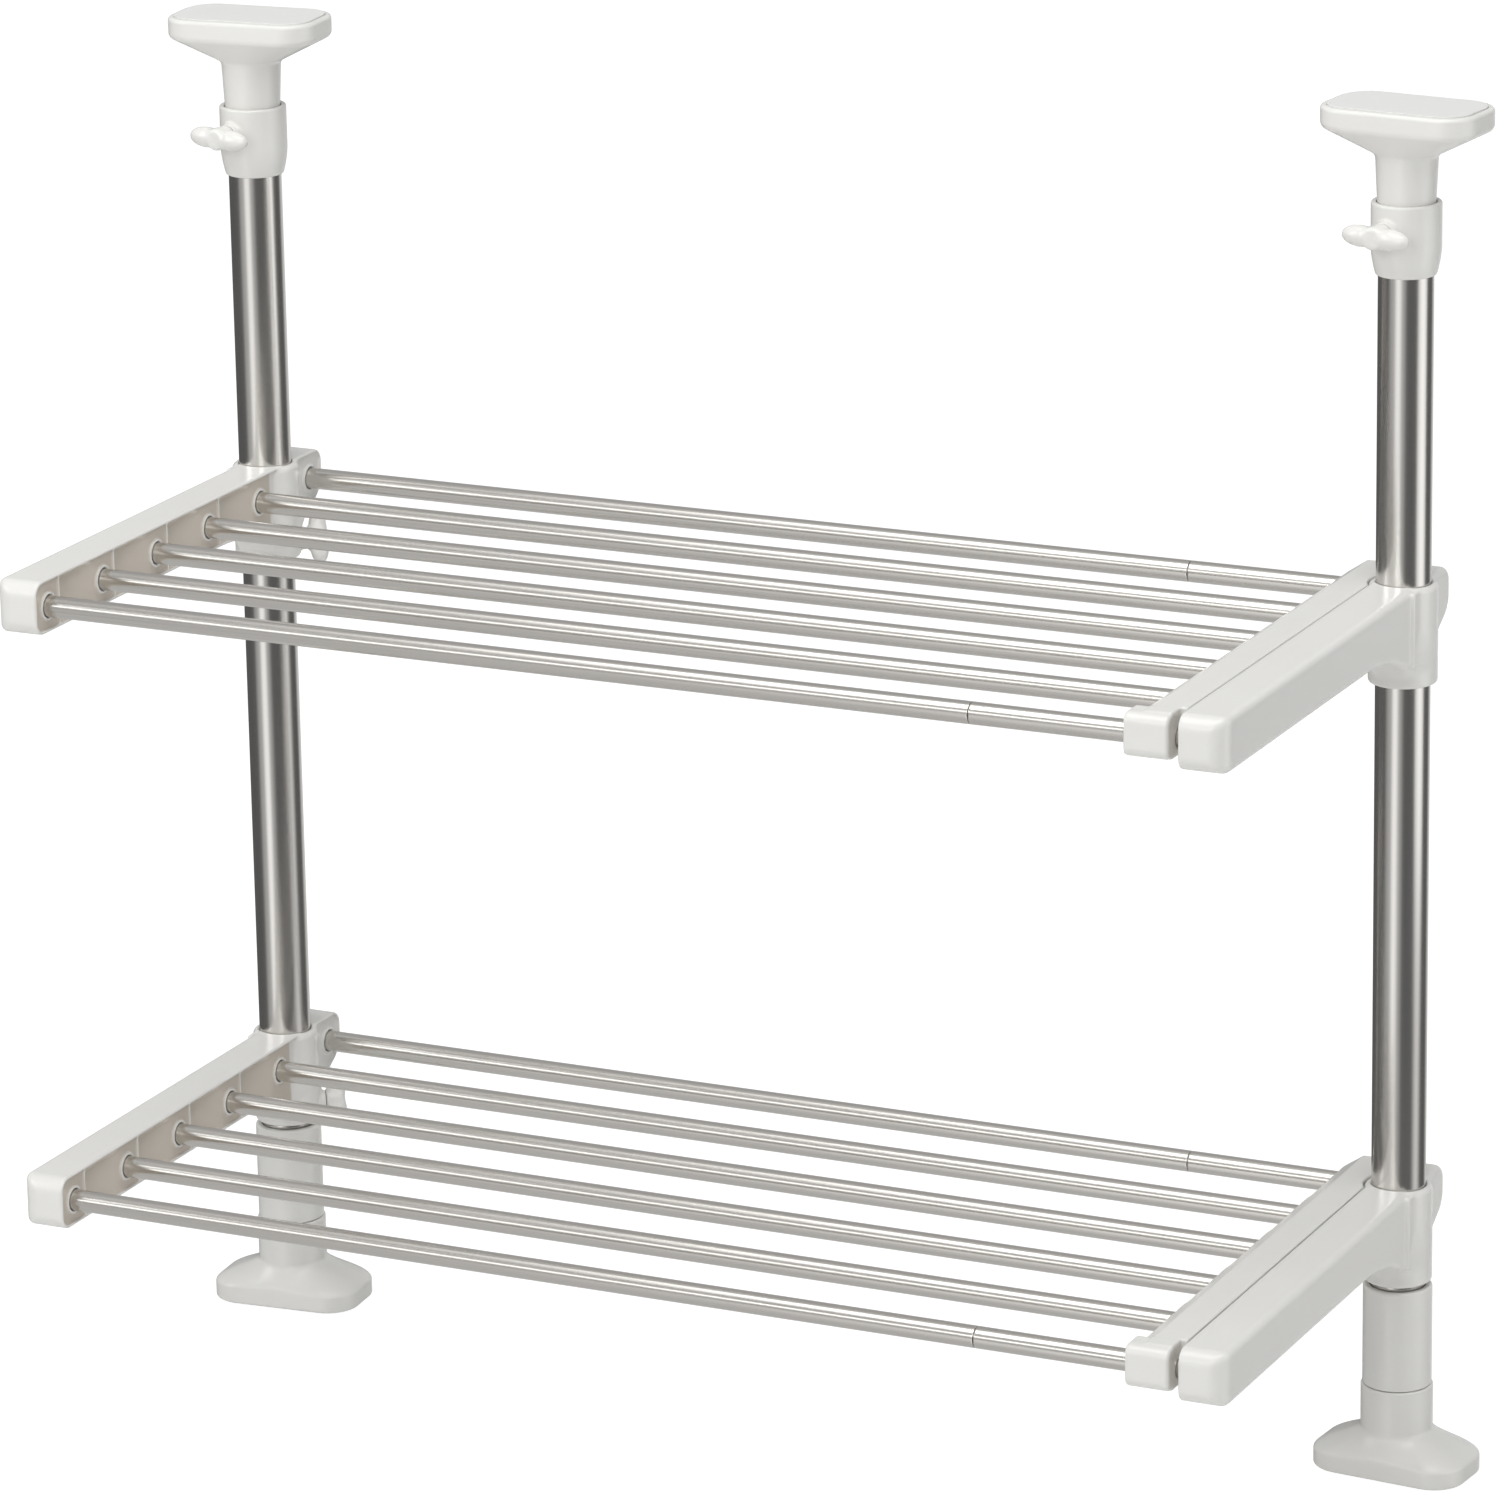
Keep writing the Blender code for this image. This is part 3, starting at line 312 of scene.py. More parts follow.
def meet(first: Array, second: Array, radius: float | Array) -> Array:
    """Keep what two distance fields share, with a round edge.

    Where both are within the radius of zero the field is the distance to the
    edge's arc, sqrt(a^2 + b^2) - radius with a and b the fields plus radius.
    """
    a, b = first + radius, second + radius
    deep = np.minimum(np.maximum(a, b), 0.0)
    return deep + np.hypot(np.maximum(a, 0.0), np.maximum(b, 0.0)) - radius


def join(first: Array, second: Array, radius: float | Array) -> Array:
    """Unite two distance fields with a fillet, the mirror image of a meeting."""
    return -meet(-first, -second, radius)


def cut(body: Array, tool: Array, radius: float | Array) -> Array:
    """Take a tool out of a body and leave a round rim."""
    return meet(body, -tool, radius)


def span(value: Array, low: float, high: float) -> Array:
    """Return the distance field of the gap between two parallel planes."""
    return np.abs(value - 0.5 * (low + high)) - 0.5 * (high - low)


def rectangle(
    u: Array, v: Array, low: tuple[float, float], high: tuple[float, float], corner: float | Array
) -> Array:
    """Return the distance to a rounded rectangle in a plane."""
    return meet(span(u, low[0], high[0]), span(v, low[1], high[1]), corner)


def rounded_wall(wall: Array, end: Array, corner: float, edge: float) -> tuple[Array, Array]:
    """Bend a wall's field round to an end plane that is met elsewhere.

    Args:
        wall: Distance to the wall's plane.
        end: Distance to the end's plane.
        corner: Radius of the arc between the two.
        edge: Radius of the wall's own edges.

    Returns:
        The bent wall's field, and its edge radius, which falls to nothing
        where the arc runs into the end.
    """
    a, b = np.maximum(wall + corner, 0.0), np.maximum(end + corner, 0.0)
    arc = np.hypot(a, b)
    bent = (a > 0.0) & (b > 0.0)
    faded = np.where(bent, edge * a / np.maximum(arc, 1e-9), edge)
    return np.where(bent, arc - corner, wall), faded


def polygon(u: Array, v: Array, corners: Array, rounding: float) -> Array:
    """Return the distance to a polygon's outline, drawn in and rounded again.

    The distance to each side is that to its nearest point; the sign turns at
    every side that a level line from the point crosses.
    """
    nearest = np.full(np.broadcast_shapes(np.shape(u), np.shape(v)), 1e9, dtype=np.float32)
    sign = np.ones_like(nearest)
    centre = corners.mean(axis=0)
    inward = centre - corners
    corners = corners + inward * (rounding / length_of(inward))[:, None]
    for (u0, v0), (u1, v1) in zip(corners, np.roll(corners, -1, axis=0)):
        side_u, side_v = u1 - u0, v1 - v0
        off_u, off_v = u - u0, v - v0
        along, length2 = off_u * side_u + off_v * side_v, side_u * side_u + side_v * side_v
        share = np.clip(along / length2, 0.0, 1.0)
        distance2 = (off_u - side_u * share) ** 2 + (off_v - side_v * share) ** 2
        nearest = np.minimum(nearest, distance2)
        crosses = (v0 <= v) != (v1 <= v)
        leftward = (side_u * off_v - side_v * off_u) * math.copysign(1.0, side_v) > 0.0
        sign = np.where(crosses & leftward, -sign, sign)
    return sign * np.sqrt(nearest) - rounding


@dataclass(frozen=True)
class Casting:
    """A form's box and the cell size with which its distance field becomes a surface."""

    low: Triple
    high: Triple
    cell: Triple

    def pour(self, form: Field) -> Surface:
        """Return the surface on which a distance field is zero.

        The field is worked out at every point of a grid that reaches a few
        cells past the box.  Each cell that the surface passes gets one point,
        the mean of the crossings on its edges, which then moves along the
        field's slope by distance / slope^2 until it lies on the surface.  Each
        grid edge that the surface crosses gets one face through the points of
        the four cells round it.

        Args:
            form: Distance to the surface, negative inside.

        Returns:
            The closed surface, facing out.
        """
        cell = np.array(self.cell)
        low = np.array(self.low) - CASTING_MARGIN * cell
        high = np.array(self.high) + CASTING_MARGIN * cell
        counts = np.ceil((high - low) / cell).astype(int) + 1
        x, y, z = (
            (start + size * np.arange(count)).astype(np.float32)
            for start, size, count in zip(low, cell, counts)
        )
        values = form(x[:, None, None], y[None, :, None], z[None, None, :])
        values = np.broadcast_to(values, tuple(counts)).astype(np.float32)
        inside = values < 0.0
        corner_steps = np.indices((2, 2, 2)).reshape(3, -1).T
        last = counts - 1
        filled = sum(
            inside[tuple(slice(a, a + b) for a, b in zip(step, last))].astype(np.int8)
            for step in corner_steps
        )
        cells = np.argwhere((filled > 0) & (filled < 8))
        total = np.zeros((len(cells), 3))
        crossings = np.zeros((len(cells), 1))
        for first in corner_steps:
            for axis in np.flatnonzero(first == 0):
                second = first.copy()
                second[axis] = 1
                near = values[tuple((cells + first).T)]
                far = values[tuple((cells + second).T)]
                crossed = (near < 0.0) != (far < 0.0)
                share = np.where(crossed, near / np.where(crossed, near - far, 1.0), 0.0)
                place = np.tile(first.astype(float), (len(cells), 1))
                place[:, axis] = share
                total += place * crossed[:, None]
                crossings += crossed[:, None]
        points = low + cell * (cells + total / crossings)
        points = self.settled(points, form)
        number = np.full(tuple(last), -1, dtype=np.int64)
        number[tuple(cells.T)] = np.arange(len(cells))
        return Surface(points, self.crossing_faces(inside, number))

    def settled(self, points: Array, form: Field, rounds: int = 3) -> Array:
        """Move points along the field's slope until they lie on the surface."""
        step = 0.1 * min(self.cell)
        reach = 0.5 * min(self.cell)
        for _ in range(rounds):
            x, y, z = points.T
            value = form(x, y, z)
            slope = np.stack(
                [
                    form(x + step, y, z) - form(x - step, y, z),
                    form(x, y + step, z) - form(x, y - step, z),
                    form(x, y, z + step) - form(x, y, z - step),
                ],
                axis=-1,
            ) / (2.0 * step)
            steepness = np.maximum((slope * slope).sum(axis=-1), 0.25)
            move = np.clip(value / steepness, -reach, reach)
            points = points - slope * move[:, None]
        return points

    @staticmethod
    def crossing_faces(inside: Array, number: Array) -> Array:
        """Return a face for each grid edge whose ends lie on different sides."""
        faces = []
        for axis in range(3):
            one, two = (axis + 1) % 3, (axis + 2) % 3
            start = [slice(None)] * 3
            stop = [slice(None)] * 3
            start[axis], stop[axis] = slice(0, -1), slice(1, None)
            near, far = inside[tuple(start)], inside[tuple(stop)]
            edges = np.argwhere(near != far)
            leaving = near[tuple(edges.T)]
            corners = []
            for back_one, back_two in ((1, 1), (0, 1), (0, 0), (1, 0)):
                cell = edges.copy()
                cell[:, one] -= back_one
                cell[:, two] -= back_two
                corners.append(number[tuple(cell.T)])
            ring = np.stack(corners, axis=-1)
            faces.append(np.where(leaving[:, None], ring, ring[:, ::-1]))
        return np.concatenate(faces)


class Term:
    """A shader value that takes part in Python expressions."""

    def __init__(self, graph: "Graph", socket: bpy.types.NodeSocket) -> None:
        """Keep the graph and the socket that gives the value."""
        self.graph = graph
        self.socket = socket

    def __add__(self, other: object) -> "Term":
        """Return the sum."""
        return self.graph.maths("ADD", self, other)

    __radd__ = __add__

    def __sub__(self, other: object) -> "Term":
        """Return the difference."""
        return self.graph.maths("SUBTRACT", self, other)

    def __rsub__(self, other: object) -> "Term":
        """Return the difference from a number."""
        return self.graph.maths("SUBTRACT", other, self)

    def __mul__(self, other: object) -> "Term":
        """Return the product."""
        return self.graph.maths("MULTIPLY", self, other)

    __rmul__ = __mul__

    def larger(self, other: object) -> "Term":
        """Return the larger of two values."""
        return self.graph.maths("MAXIMUM", self, other)

    def within(self, low: float, high: float, soft: float) -> "Term":
        """Return 1 between two limits and 0 outside, with soft ends."""
        rise, fall = (
            self.graph.value(
                "MapRange",
                {"Value": self, "From Min": limit - soft, "From Max": limit + soft},
                interpolation_type="SMOOTHSTEP",
            )
            for limit in (low, high)
        )
        return rise * (1.0 - fall)


class Graph:
    """A node tree that is built by adding nodes and linking their values."""

    def __init__(self, tree: bpy.types.NodeTree) -> None:
        """Empty a tree and take it over."""
        tree.nodes.clear()
        self.tree = tree

    def add(
        self, kind: str, inputs: dict[str | int, object] | None = None, **settings: object
    ) -> bpy.types.Node:
        """Add one node.

        Args:
            kind: The node's type, without the "ShaderNode" that it starts with.
            inputs: Numbers, colours, Terms or shader nodes for its inputs.
            **settings: The node's own settings, which are set first.

        Returns:
            The new node.
        """
        node = self.tree.nodes.new(f"ShaderNode{kind}")
        for key, value in settings.items():
            setattr(node, key, value)
        for key, value in (inputs or {}).items():
            socket = node.inputs[key]
            if isinstance(value, Term):
                self.tree.links.new(value.socket, socket)
            elif isinstance(value, bpy.types.Node):
                self.tree.links.new(value.outputs[0], socket)
            elif socket.type == "RGBA":
                socket.default_value = (*value, 1.0)
            else:
                socket.default_value = value
        return node

    def value(
        self,
        kind: str,
        inputs: dict[str | int, object] | None = None,
        output: str | int = 0,
        **settings: object,
    ) -> Term:
        """Add one node and return one of its outputs as a value."""
        return Term(self, self.add(kind, inputs, **settings).outputs[output])

    def maths(self, operation: str, first: object, second: object = 0.0) -> Term:
        """Return what a Math node makes of two values."""
        return self.value("Math", {0: first, 1: second}, operation=operation)

    def blend(self, share: object, first: object, second: object) -> Term:
        """Return a mix of two colours."""
        return self.value("Mix", {0: share, 6: first, 7: second}, 2, data_type="RGBA")

    def noise(self, place: Term, scale: float, detail: float = 2.0, rough: float = 0.5) -> Term:
        """Return smooth noise between 0 and 1 round a mean of one half."""
        inputs = {"Vector": place, "Scale": scale, "Detail": detail, "Roughness": rough}
        return self.value("TexNoise", inputs)

    def place(self, stretch: Triple = (1.0, 1.0, 1.0)) -> Term:
        """Return the object's own coordinates, stretched."""
        place = self.value("TexCoord", output="Object")
        return self.value("Mapping", {"Vector": place, "Scale": stretch})

    def rays(self, *kinds: str) -> list[Term]:
        """Return for each kind named whether the ray is of that kind."""
        outputs = self.add("LightPath").outputs
        return [Term(self, outputs[f"Is {kind} Ray"]) for kind in kinds]


def new_graph(name: str) -> tuple[bpy.types.Material, Graph]:
    """Return a new material and its empty graph."""
    material = bpy.data.materials.new(name)
    material.use_nodes = True
    return material, Graph(material.node_tree)


@dataclass(frozen=True)
class Finish:
    """Two colours that a pattern blends, a roughness that wear varies, and a fine relief."""

    name: str
    light: Triple
    shade: Triple
    roughness: float
    roughness_spread: float
    relief_height: float
    relief_strength: float = 0.6

    def inputs(self, graph: Graph) -> dict[str, object]:
        """Return the shader's inputs, which each finish works out in its own way."""
        raise NotImplementedError

    def patterned(self, graph: Graph, pattern: Term, wear: Term, height: Term) -> dict[str, object]:
        """Return the inputs that all finishes have.

        Args:
            graph: The material's graph.
            pattern: Share of the light colour.
            wear: Value round 0 that varies the roughness.
            height: Height of the relief, 0 to 1.

        Returns:
            Colour, roughness and normal.
        """
        relief = {
            "Strength": self.relief_strength, "Distance": self.relief_height, "Height": height
        }
        return {
            "Base Color": graph.blend(pattern, self.shade, self.light),
            "Roughness": self.roughness + self.roughness_spread * wear,
            "Normal": graph.value("Bump", relief),
        }

    def material(self) -> bpy.types.Material:
        """Return the finish as a new material."""
        material, graph = new_graph(self.name)
        shader = graph.add("BsdfPrincipled", self.inputs(graph))
        graph.add("OutputMaterial", {"Surface": shader})
        return material


@dataclass(frozen=True)
class MouldedPlastic(Finish):
    """White moulded plastic with a fine orange-peel skin and faint flow marks."""

    name: str = "moulded_white"
    light: Triple = (0.805, 0.794, 0.764)
    shade: Triple = (0.775, 0.763, 0.732)
    roughness: float = 0.24
    roughness_spread: float = 0.04
    relief_height: float = 0.000012
    # Painted shade: the duller, warmer colour painted into the brackets' pockets
    recess: Triple = (0.630, 0.570, 0.500)
    flow_scale: float = 26.0
    flow_detail: float = 3.0
    peel_scale: float = 900.0

    def inputs(self, graph: Graph) -> dict[str, object]:
        """Return the inputs: flow marks in colour and roughness, the skin in the normal.

        Where a piece's attribute "recess" is 1 the colour turns to a painted shade,
        the duller, warmer one that the photograph shows in the brackets' pockets.
        """
        place = graph.place()
        flow = graph.noise(place, self.flow_scale, self.flow_detail)
        inputs = self.patterned(graph, flow, flow - 0.5, graph.noise(place, self.peel_scale))
        # Painted shade: blend towards the pocket colour by each point's share of it
        recess = graph.value("Attribute", output="Fac", attribute_name="recess")
        inputs["Base Color"] = graph.blend(recess, inputs["Base Color"], self.recess)
        return inputs


@dataclass(frozen=True)
class DrawnSteel(Finish):
    """Stainless steel tube with fine draw lines along it."""

    relief_height: float = 0.0000025
    relief_strength: float = 0.5
    stretch: Triple = (1.0, 1.0, 1.0)
    line_detail: float = 3.0
    line_roughness: float = 0.6
    cloud_scale: float = 14.0

    def inputs(self, graph: Graph) -> dict[str, object]:
        """Return the inputs: lengthwise lines in all of them, clouds in the roughness."""
        place = graph.place(self.stretch)
        lines = graph.noise(place, 1.0, self.line_detail, self.line_roughness)
        wear = lines + graph.noise(graph.place(), self.cloud_scale) - 1.0
        return {**self.patterned(graph, lines, wear, lines), "Metallic": 1.0}


@dataclass(frozen=True)
class SoftSole(Finish):
    """Matt pale rubber with a fine grain."""

    name: str = "pale_rubber"
    light: Triple = (0.77, 0.765, 0.745)
    shade: Triple = (0.72, 0.715, 0.70)
    roughness: float = 0.72
    roughness_spread: float = 0.16
    relief_height: float = 0.00004
    grain_scale: float = 1400.0

    def inputs(self, graph: Graph) -> dict[str, object]:
        """Return the inputs, with the grain in all of them."""
        grain = graph.noise(graph.place(), self.grain_scale)
        return self.patterned(graph, grain, grain - 0.5, grain)


POLISHED_POST = DrawnSteel(
    "polished_post", (0.66, 0.645, 0.62), (0.61, 0.595, 0.57), 0.23, 0.03,
    stretch=(900.0, 900.0, 9.0),
)
SATIN_ROD = DrawnSteel(
    "satin_rod", (0.70, 0.68, 0.645), (0.63, 0.61, 0.575), 0.22, 0.03,
    stretch=(9.0, 1500.0, 1500.0),
)


class Finishes:
    """The rack's materials, each made once and handed out by slot."""

    def __init__(self) -> None:
        """Make the four materials."""
        self.materials = {
            Slot.PLASTIC: MouldedPlastic().material(),
            Slot.POST: POLISHED_POST.material(),
            Slot.ROD: SATIN_ROD.material(),
            Slot.SOLE: SoftSole().material(),
        }

    def paint(self, piece: bpy.types.Object, slot: Slot) -> None:
        """Give an object one slot's material in place of its own."""
        piece.data.materials.clear()
        piece.data.materials.append(self.materials[slot])


@dataclass(frozen=True)
class Assembly:
    """Pieces whose solids and bodies have names that start with one side or tier."""

    finishes: Finishes
    which: Hand | Tier

    @property
    def name(self) -> str:
        """Start of the names of the solids, bodies and pieces."""
        return self.which.value

    def box(self, node: str) -> tuple[Vector, Vector]:
        """Return the box of a solid, named without its start."""
        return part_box(f"{self.name}_{node}")

    def add(
        self,
        surface: Surface,
        place: Matrix,
        node: str,
        body: str,
        ending: str = "moulding",
        slot: Slot = Slot.PLASTIC,
    ) -> bpy.types.Object:
        """Add the visible piece that stands for one solid.

        Args:
            surface: The piece's surface, before it is placed.
            place: Its place.
            node: The solid's name, without its start.
            body: The name of the body that it rides on, without its start.
            ending: What the piece's name adds to the solid's.
            slot: Its finish.

        Returns:
            The new piece.
        """
        piece = surface.placed(place).to_object(f"{self.name}_{node}_{ending}")
        self.finishes.paint(piece, slot)
        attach(piece, f"{self.name}_{body}")
        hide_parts(f"{self.name}_{node}")
        LOG.info("%s: %d faces, on %s", piece.name, len(piece.data.polygons), body)
        return piece


@dataclass(frozen=True)
class WingScrew:
    """A thumb screw: turned hub, two boat-shaped wings and a plain shank.

    Along runs out from the post's axis, across runs from wing tip to wing tip
    and up is the wings' thickness.
    """

    start: float
    hub_base: float
    shank_radius: float
    span: float
    hub_radius: float = 0.0056
    hub_length: float = 0.0090
    hub_taper: float = 0.06
    wing_length: float = 0.0086
    wing_depth: float = 0.0043
    wing_half_height: float = 0.0047
    wing_share: float = 0.56
    wing_lift: float = 0.0006
    wing_fillet: float = 0.0020
    web_half_height: float = 0.0038
    web_below: float = 0.0030
    web_above: float = 0.0032
    web_edge: float = 0.0008
    web_fillet: float = 0.0016
    edge: float = 0.0012
    cell: float = 0.00042

    def form(self, up: Array, across: Array, along: Array) -> Array:
        """Return the screw's distance field.

        Hub and shank are round bars between two planes.  Each wing is an
        ellipsoid, whose distance is k0 (k0 - 1) / k1 with k0 the scaled radius
        and k1 the length of its slope, and a thin web ties it to the hub.
        """
        top = self.hub_base + self.hub_length
        radius = np.hypot(up, across)
        taper = self.hub_taper * (along - self.hub_base)
        hub = meet(radius - self.hub_radius + taper, span(along, self.hub_base, top), self.edge)
        middle = self.hub_base + self.wing_share * self.hub_length
        centre = self.span - self.wing_length
        offset = (np.abs(across) - centre, up, along - middle - self.wing_lift)
        sizes = (self.wing_length, self.wing_half_height, self.wing_depth)
        scaled = np.sqrt(sum((part / size) ** 2 for part, size in zip(offset, sizes)))
        slope = np.sqrt(sum((part / size**2) ** 2 for part, size in zip(offset, sizes)))
        wing = scaled * (scaled - 1.0) / np.maximum(slope, 1e-6)
        sheet = span(up, -self.web_half_height, self.web_half_height)
        web = meet(
            meet(sheet, np.abs(across) - centre, self.web_edge),
            span(along, middle - self.web_below, middle + self.web_above),
            self.edge,
        )
        wings = join(wing, web, self.web_fillet)
        length = span(along, self.start, self.hub_base + self.edge)
        shank = meet(radius - self.shank_radius, length, FINE)
        return join(join(hub, wings, self.wing_fillet), shank, CRISP)

    def surface(self) -> Surface:
        """Return the screw's surface along Z, with room for wings that rise past the hub."""
        low = (-self.hub_radius, -self.span, self.start)
        past = CASTING_MARGIN * self.cell
        high = (self.hub_radius, self.span, self.hub_base + self.hub_length + past)
        return Casting(low, high, (self.cell,) * 3).pour(self.form)


@dataclass(frozen=True)
class PostAssembly(Assembly):
    """One post with its foot, adjuster, collar, stem and pad."""

    columns: int = 96
    drill_columns: int = 32
    post_radius: float = 0.0125
    post_wall: float = 0.0012
    stem_radius: float = 0.0110
    stem_wall: float = 0.0010
    tube_edge_share: float = 0.3
    sleeve_radius: float = 0.0160
    spigot_radius: float = 0.0098
    spigot_lip: float = 0.0009
    spigot_lip_rise: float = 0.0003
    sleeve_flange: float = 0.0075
    collar_radius: float = 0.0158
    collar_foot_radius: float = 0.0136
    collar_taper: float = 0.0055
    collar_waist: float = 0.0030
    collar_edge: float = 0.0010
    collar_mouth_radius: float = 0.0135
    collar_boss_radius: float = 0.0060
    collar_boss_reach: float = 0.0180
    collar_boss_edge: float = 0.0006
    collar_boss_fillet: float = 0.0016
    collar_bore_rim: float = 0.0004
    collar_mouth_rim: float = 0.0005
    collar_screw_z: float = 0.5870
    collar_screw_angle: float = math.radians(-104.0)
    collar_screw_span: float = 0.0175
    collar_shank_radius: float = 0.0024
    collar_cell: float = 0.00048
    plate_length: float = 0.0750
    plate_width: float = 0.0450
    plate_corner: float = 0.0155
    plate_least_corner: float = 0.001
    foot_band: float = 0.0082
    foot_flare: float = 0.0136
    foot_flare_rings: int = 30
    foot_neck_radius: float = 0.0167
    foot_neck_top: float = 0.0425
    foot_turn: float = math.radians(4.7)
    pad_band: float = 0.0096
    pad_flare: float = 0.0120
    pad_neck_radius: float = 0.0128
    pad_neck_top_radius: float = 0.0141
    pad_neck_seat: float = 0.0060
    pad_turn: float = math.radians(5.0)
    sole_thickness: float = 0.0016
    sole_margin: float = 0.0030
    sole_proud: float = 0.0006

    @property
    def axis(self) -> Vector:
        """Foot of the post's axis on the worktop."""
        centre = centre_of(f"{self.name}_stem")
        return Vector((centre.x, centre.y, 0.0))

    @property
    def upright(self) -> Matrix:
        """Place of a piece that is made round Z."""
        return Matrix.Translation(self.axis)

    @property
    def screw_place(self) -> Matrix:
        """Place of what lies along the collar screw, made along Z."""
        height = Vector((0.0, 0.0, self.collar_screw_z))
        return laid_out(self.axis + height, self.collar_screw_angle)

    def askew(self, turn: float) -> Matrix:
        """Return the place of a plate turned inboard at its front by an angle."""
        return self.upright @ Matrix.Rotation(turn * self.which.inboard, 4, "Z")

    def build(self) -> None:
        """Build every piece of the assembly."""
        self.build_tubes()
        self.build_adjuster()
        self.build_collar()
        self.build_foot()
        self.build_pad()
        self.build_screw()

    def tube(self, node: str, body: str, radius: float, wall: float) -> bpy.types.Object:
        """Build an upright tube with softened ends where its solid stands.

        Rings beside the collar screw keep its hole's shading to a short stretch.

        Args:
            node: The solid's name, without its start.
            body: The body's name, without its start.
            radius: Outer radius.
            wall: Wall thickness.

        Returns:
            The tube's object.
        """
        low, high = self.box(node)
        outline = tube_outline(radius, wall, (low.z, high.z), self.tube_edge_share)
        beside = self.collar_screw_z + RINGS_BESIDE_HOLE * self.collar_shank_radius
        half = len(outline) // 2
        outer = np.stack([np.full(3, radius), beside], axis=1)
        inner = np.stack([np.full(3, radius - wall), beside[::-1]], axis=1)
        outline = np.concatenate([outline[:half], outer, outline[half:], inner])
        surface = turned(outline, self.columns)
        return self.add(surface, self.upright, node, body, "steel", Slot.POST)

    def build_tubes(self) -> None:
        """Build the post, with the hole of its collar screw, and the stem."""
        post = self.tube("post", "column", self.post_radius, self.post_wall)
        radius = self.collar_shank_radius + SEAT_GAP
        reach = np.array([(radius, 0.5 * self.post_radius), (radius, 1.5 * self.post_radius)])
        bar = turned(reach, self.drill_columns, closed=False).placed(self.screw_place)
        drill = bar.to_object(f"{self.name}_post_drill")
        bore = post.modifiers.new("collar_screw_hole", "BOOLEAN")
        bore.operation = "DIFFERENCE"
        bore.object = drill
        graph = bpy.context.evaluated_depsgraph_get()
        drilled = bpy.data.meshes.new_from_object(post.evaluated_get(graph))
        post.modifiers.clear()
        post.data = drilled
        bpy.data.objects.remove(drill)
        self.tube("stem", "extension", self.stem_radius, self.stem_wall)
        plug = f"{self.name}_thread_plug"
        self.finishes.paint(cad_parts[plug], Slot.PLASTIC)
        LOG.info("%s: kept and painted", plug)

    def build_adjuster(self) -> None:
        """Build the round sleeve that turns on the foot."""
        low, high = self.box("adjuster_sleeve")
        spigot_bore, post_bore = self.spigot_radius + SEAT_GAP, self.post_radius + SEAT_GAP
        flange_top = low.z + self.sleeve_flange
        outline = filleted(
            [
                (spigot_bore, low.z, 0.0004),
                (self.sleeve_radius, low.z, 0.0007),
                (self.sleeve_radius, high.z, 0.0012),
                (post_bore, high.z, 0.0007),
                (post_bore, flange_top, 0.0004),
                (spigot_bore, flange_top, 0.0004),
            ]
        )
        surface = turned(outline, self.columns)
        self.add(surface, self.upright, "adjuster_sleeve", "adjuster", "shell")

    def collar_form(self, x: Array, y: Array, z: Array) -> Array:
        """Return the collar's distance field, round the post's axis.

        A round wall and a cone meet and are united with the screw's boss, then
        the bores for the post, the pad's neck, the stem and the screw are cut.
        """
        low, high = self.box("collar")
        ledge = self.box("post")[1].z + SEAT_GAP
        mouth_floor = high.z - self.pad_neck_seat - SEAT_GAP
        radius = np.hypot(x, y)
        slope = (self.collar_radius - self.collar_foot_radius) / self.collar_taper
        wall = radius - self.collar_radius
        foot = (radius - self.collar_foot_radius - slope * (z - low.z)) / math.hypot(1.0, slope)
        height = span(z, np.float64(low.z), np.float64(high.z))
        shell = meet(meet(wall, foot, self.collar_waist), height, self.collar_edge)
        out, beside = along_bearing(self.collar_screw_angle, x, y)
        from_screw = np.hypot(beside, z - self.collar_screw_z)
        length = span(out, self.post_radius, self.collar_boss_reach)
        boss = meet(from_screw - self.collar_boss_radius, length, self.collar_boss_edge)
        body = join(shell, boss, self.collar_boss_fillet)
        post_bore = meet(radius - self.post_radius - SEAT_GAP, z - ledge, SHARP)
        mouth = meet(radius - self.collar_mouth_radius, mouth_floor - z, SHARP)
        stem_bore = radius - self.stem_radius - SEAT_GAP
        screw_hole = meet(from_screw - self.collar_shank_radius - SEAT_GAP, -out, SHARP)
        body = cut(body, post_bore, self.collar_bore_rim)
        body = cut(body, mouth, self.collar_mouth_rim)
        return cut(cut(body, stem_bore, CRISP), screw_hole, CRISP)

    def build_collar(self) -> None:
        """Build the collar on the post's top."""
        low, high = self.box("collar")
        reach = self.collar_boss_reach
        cell = (self.collar_cell,) * 3
        casting = Casting((-reach, -reach, low.z), (reach, reach, high.z), cell)
        self.add(casting.pour(self.collar_form), self.upright, "collar", "column", "shell")

    def plate_rings(self, outline: Array, neck: float, drawn: Array) -> Array:
        """Return rings between a round neck and a rounded rectangle.

        On the flare the outline's reach blends the neck's circle with the
        plate's rectangle by bearing, circle + share (rectangle - circle), where
        share is (reach - neck) / (half length - neck).  On drawn rings the
        rectangle is drawn in by half length - reach on all sides.

        Args:
            outline: Reach and height of each ring, (n, 2).
            neck: Radius of the neck.
            drawn: Whether each ring is a drawn one, (n, 1).

        Returns:
            Points of the rings, (n, columns, 3), counterclockwise from above.
        """
        half_x, half_y = 0.5 * self.plate_length, 0.5 * self.plate_width
        bearing = np.linspace(0.0, 2.0 * math.pi, 2 * self.columns, endpoint=False)[None, :]
        reach, height = outline[:, :1], outline[:, 1:]
        drawn_in = np.where(drawn, half_x - reach, 0.0)
        corner = np.maximum(self.plate_corner - drawn_in, self.plate_least_corner)
        plate = rectangle_reach(bearing, half_x - drawn_in, half_y - drawn_in, corner)
        share = np.clip((reach - neck) / (half_x - neck), 0.0, 1.0)
        blended = np.where(reach <= neck, reach, neck + share * (plate - neck))
        radius = np.where(drawn, plate, blended)
        return around_z(radius, bearing, height)

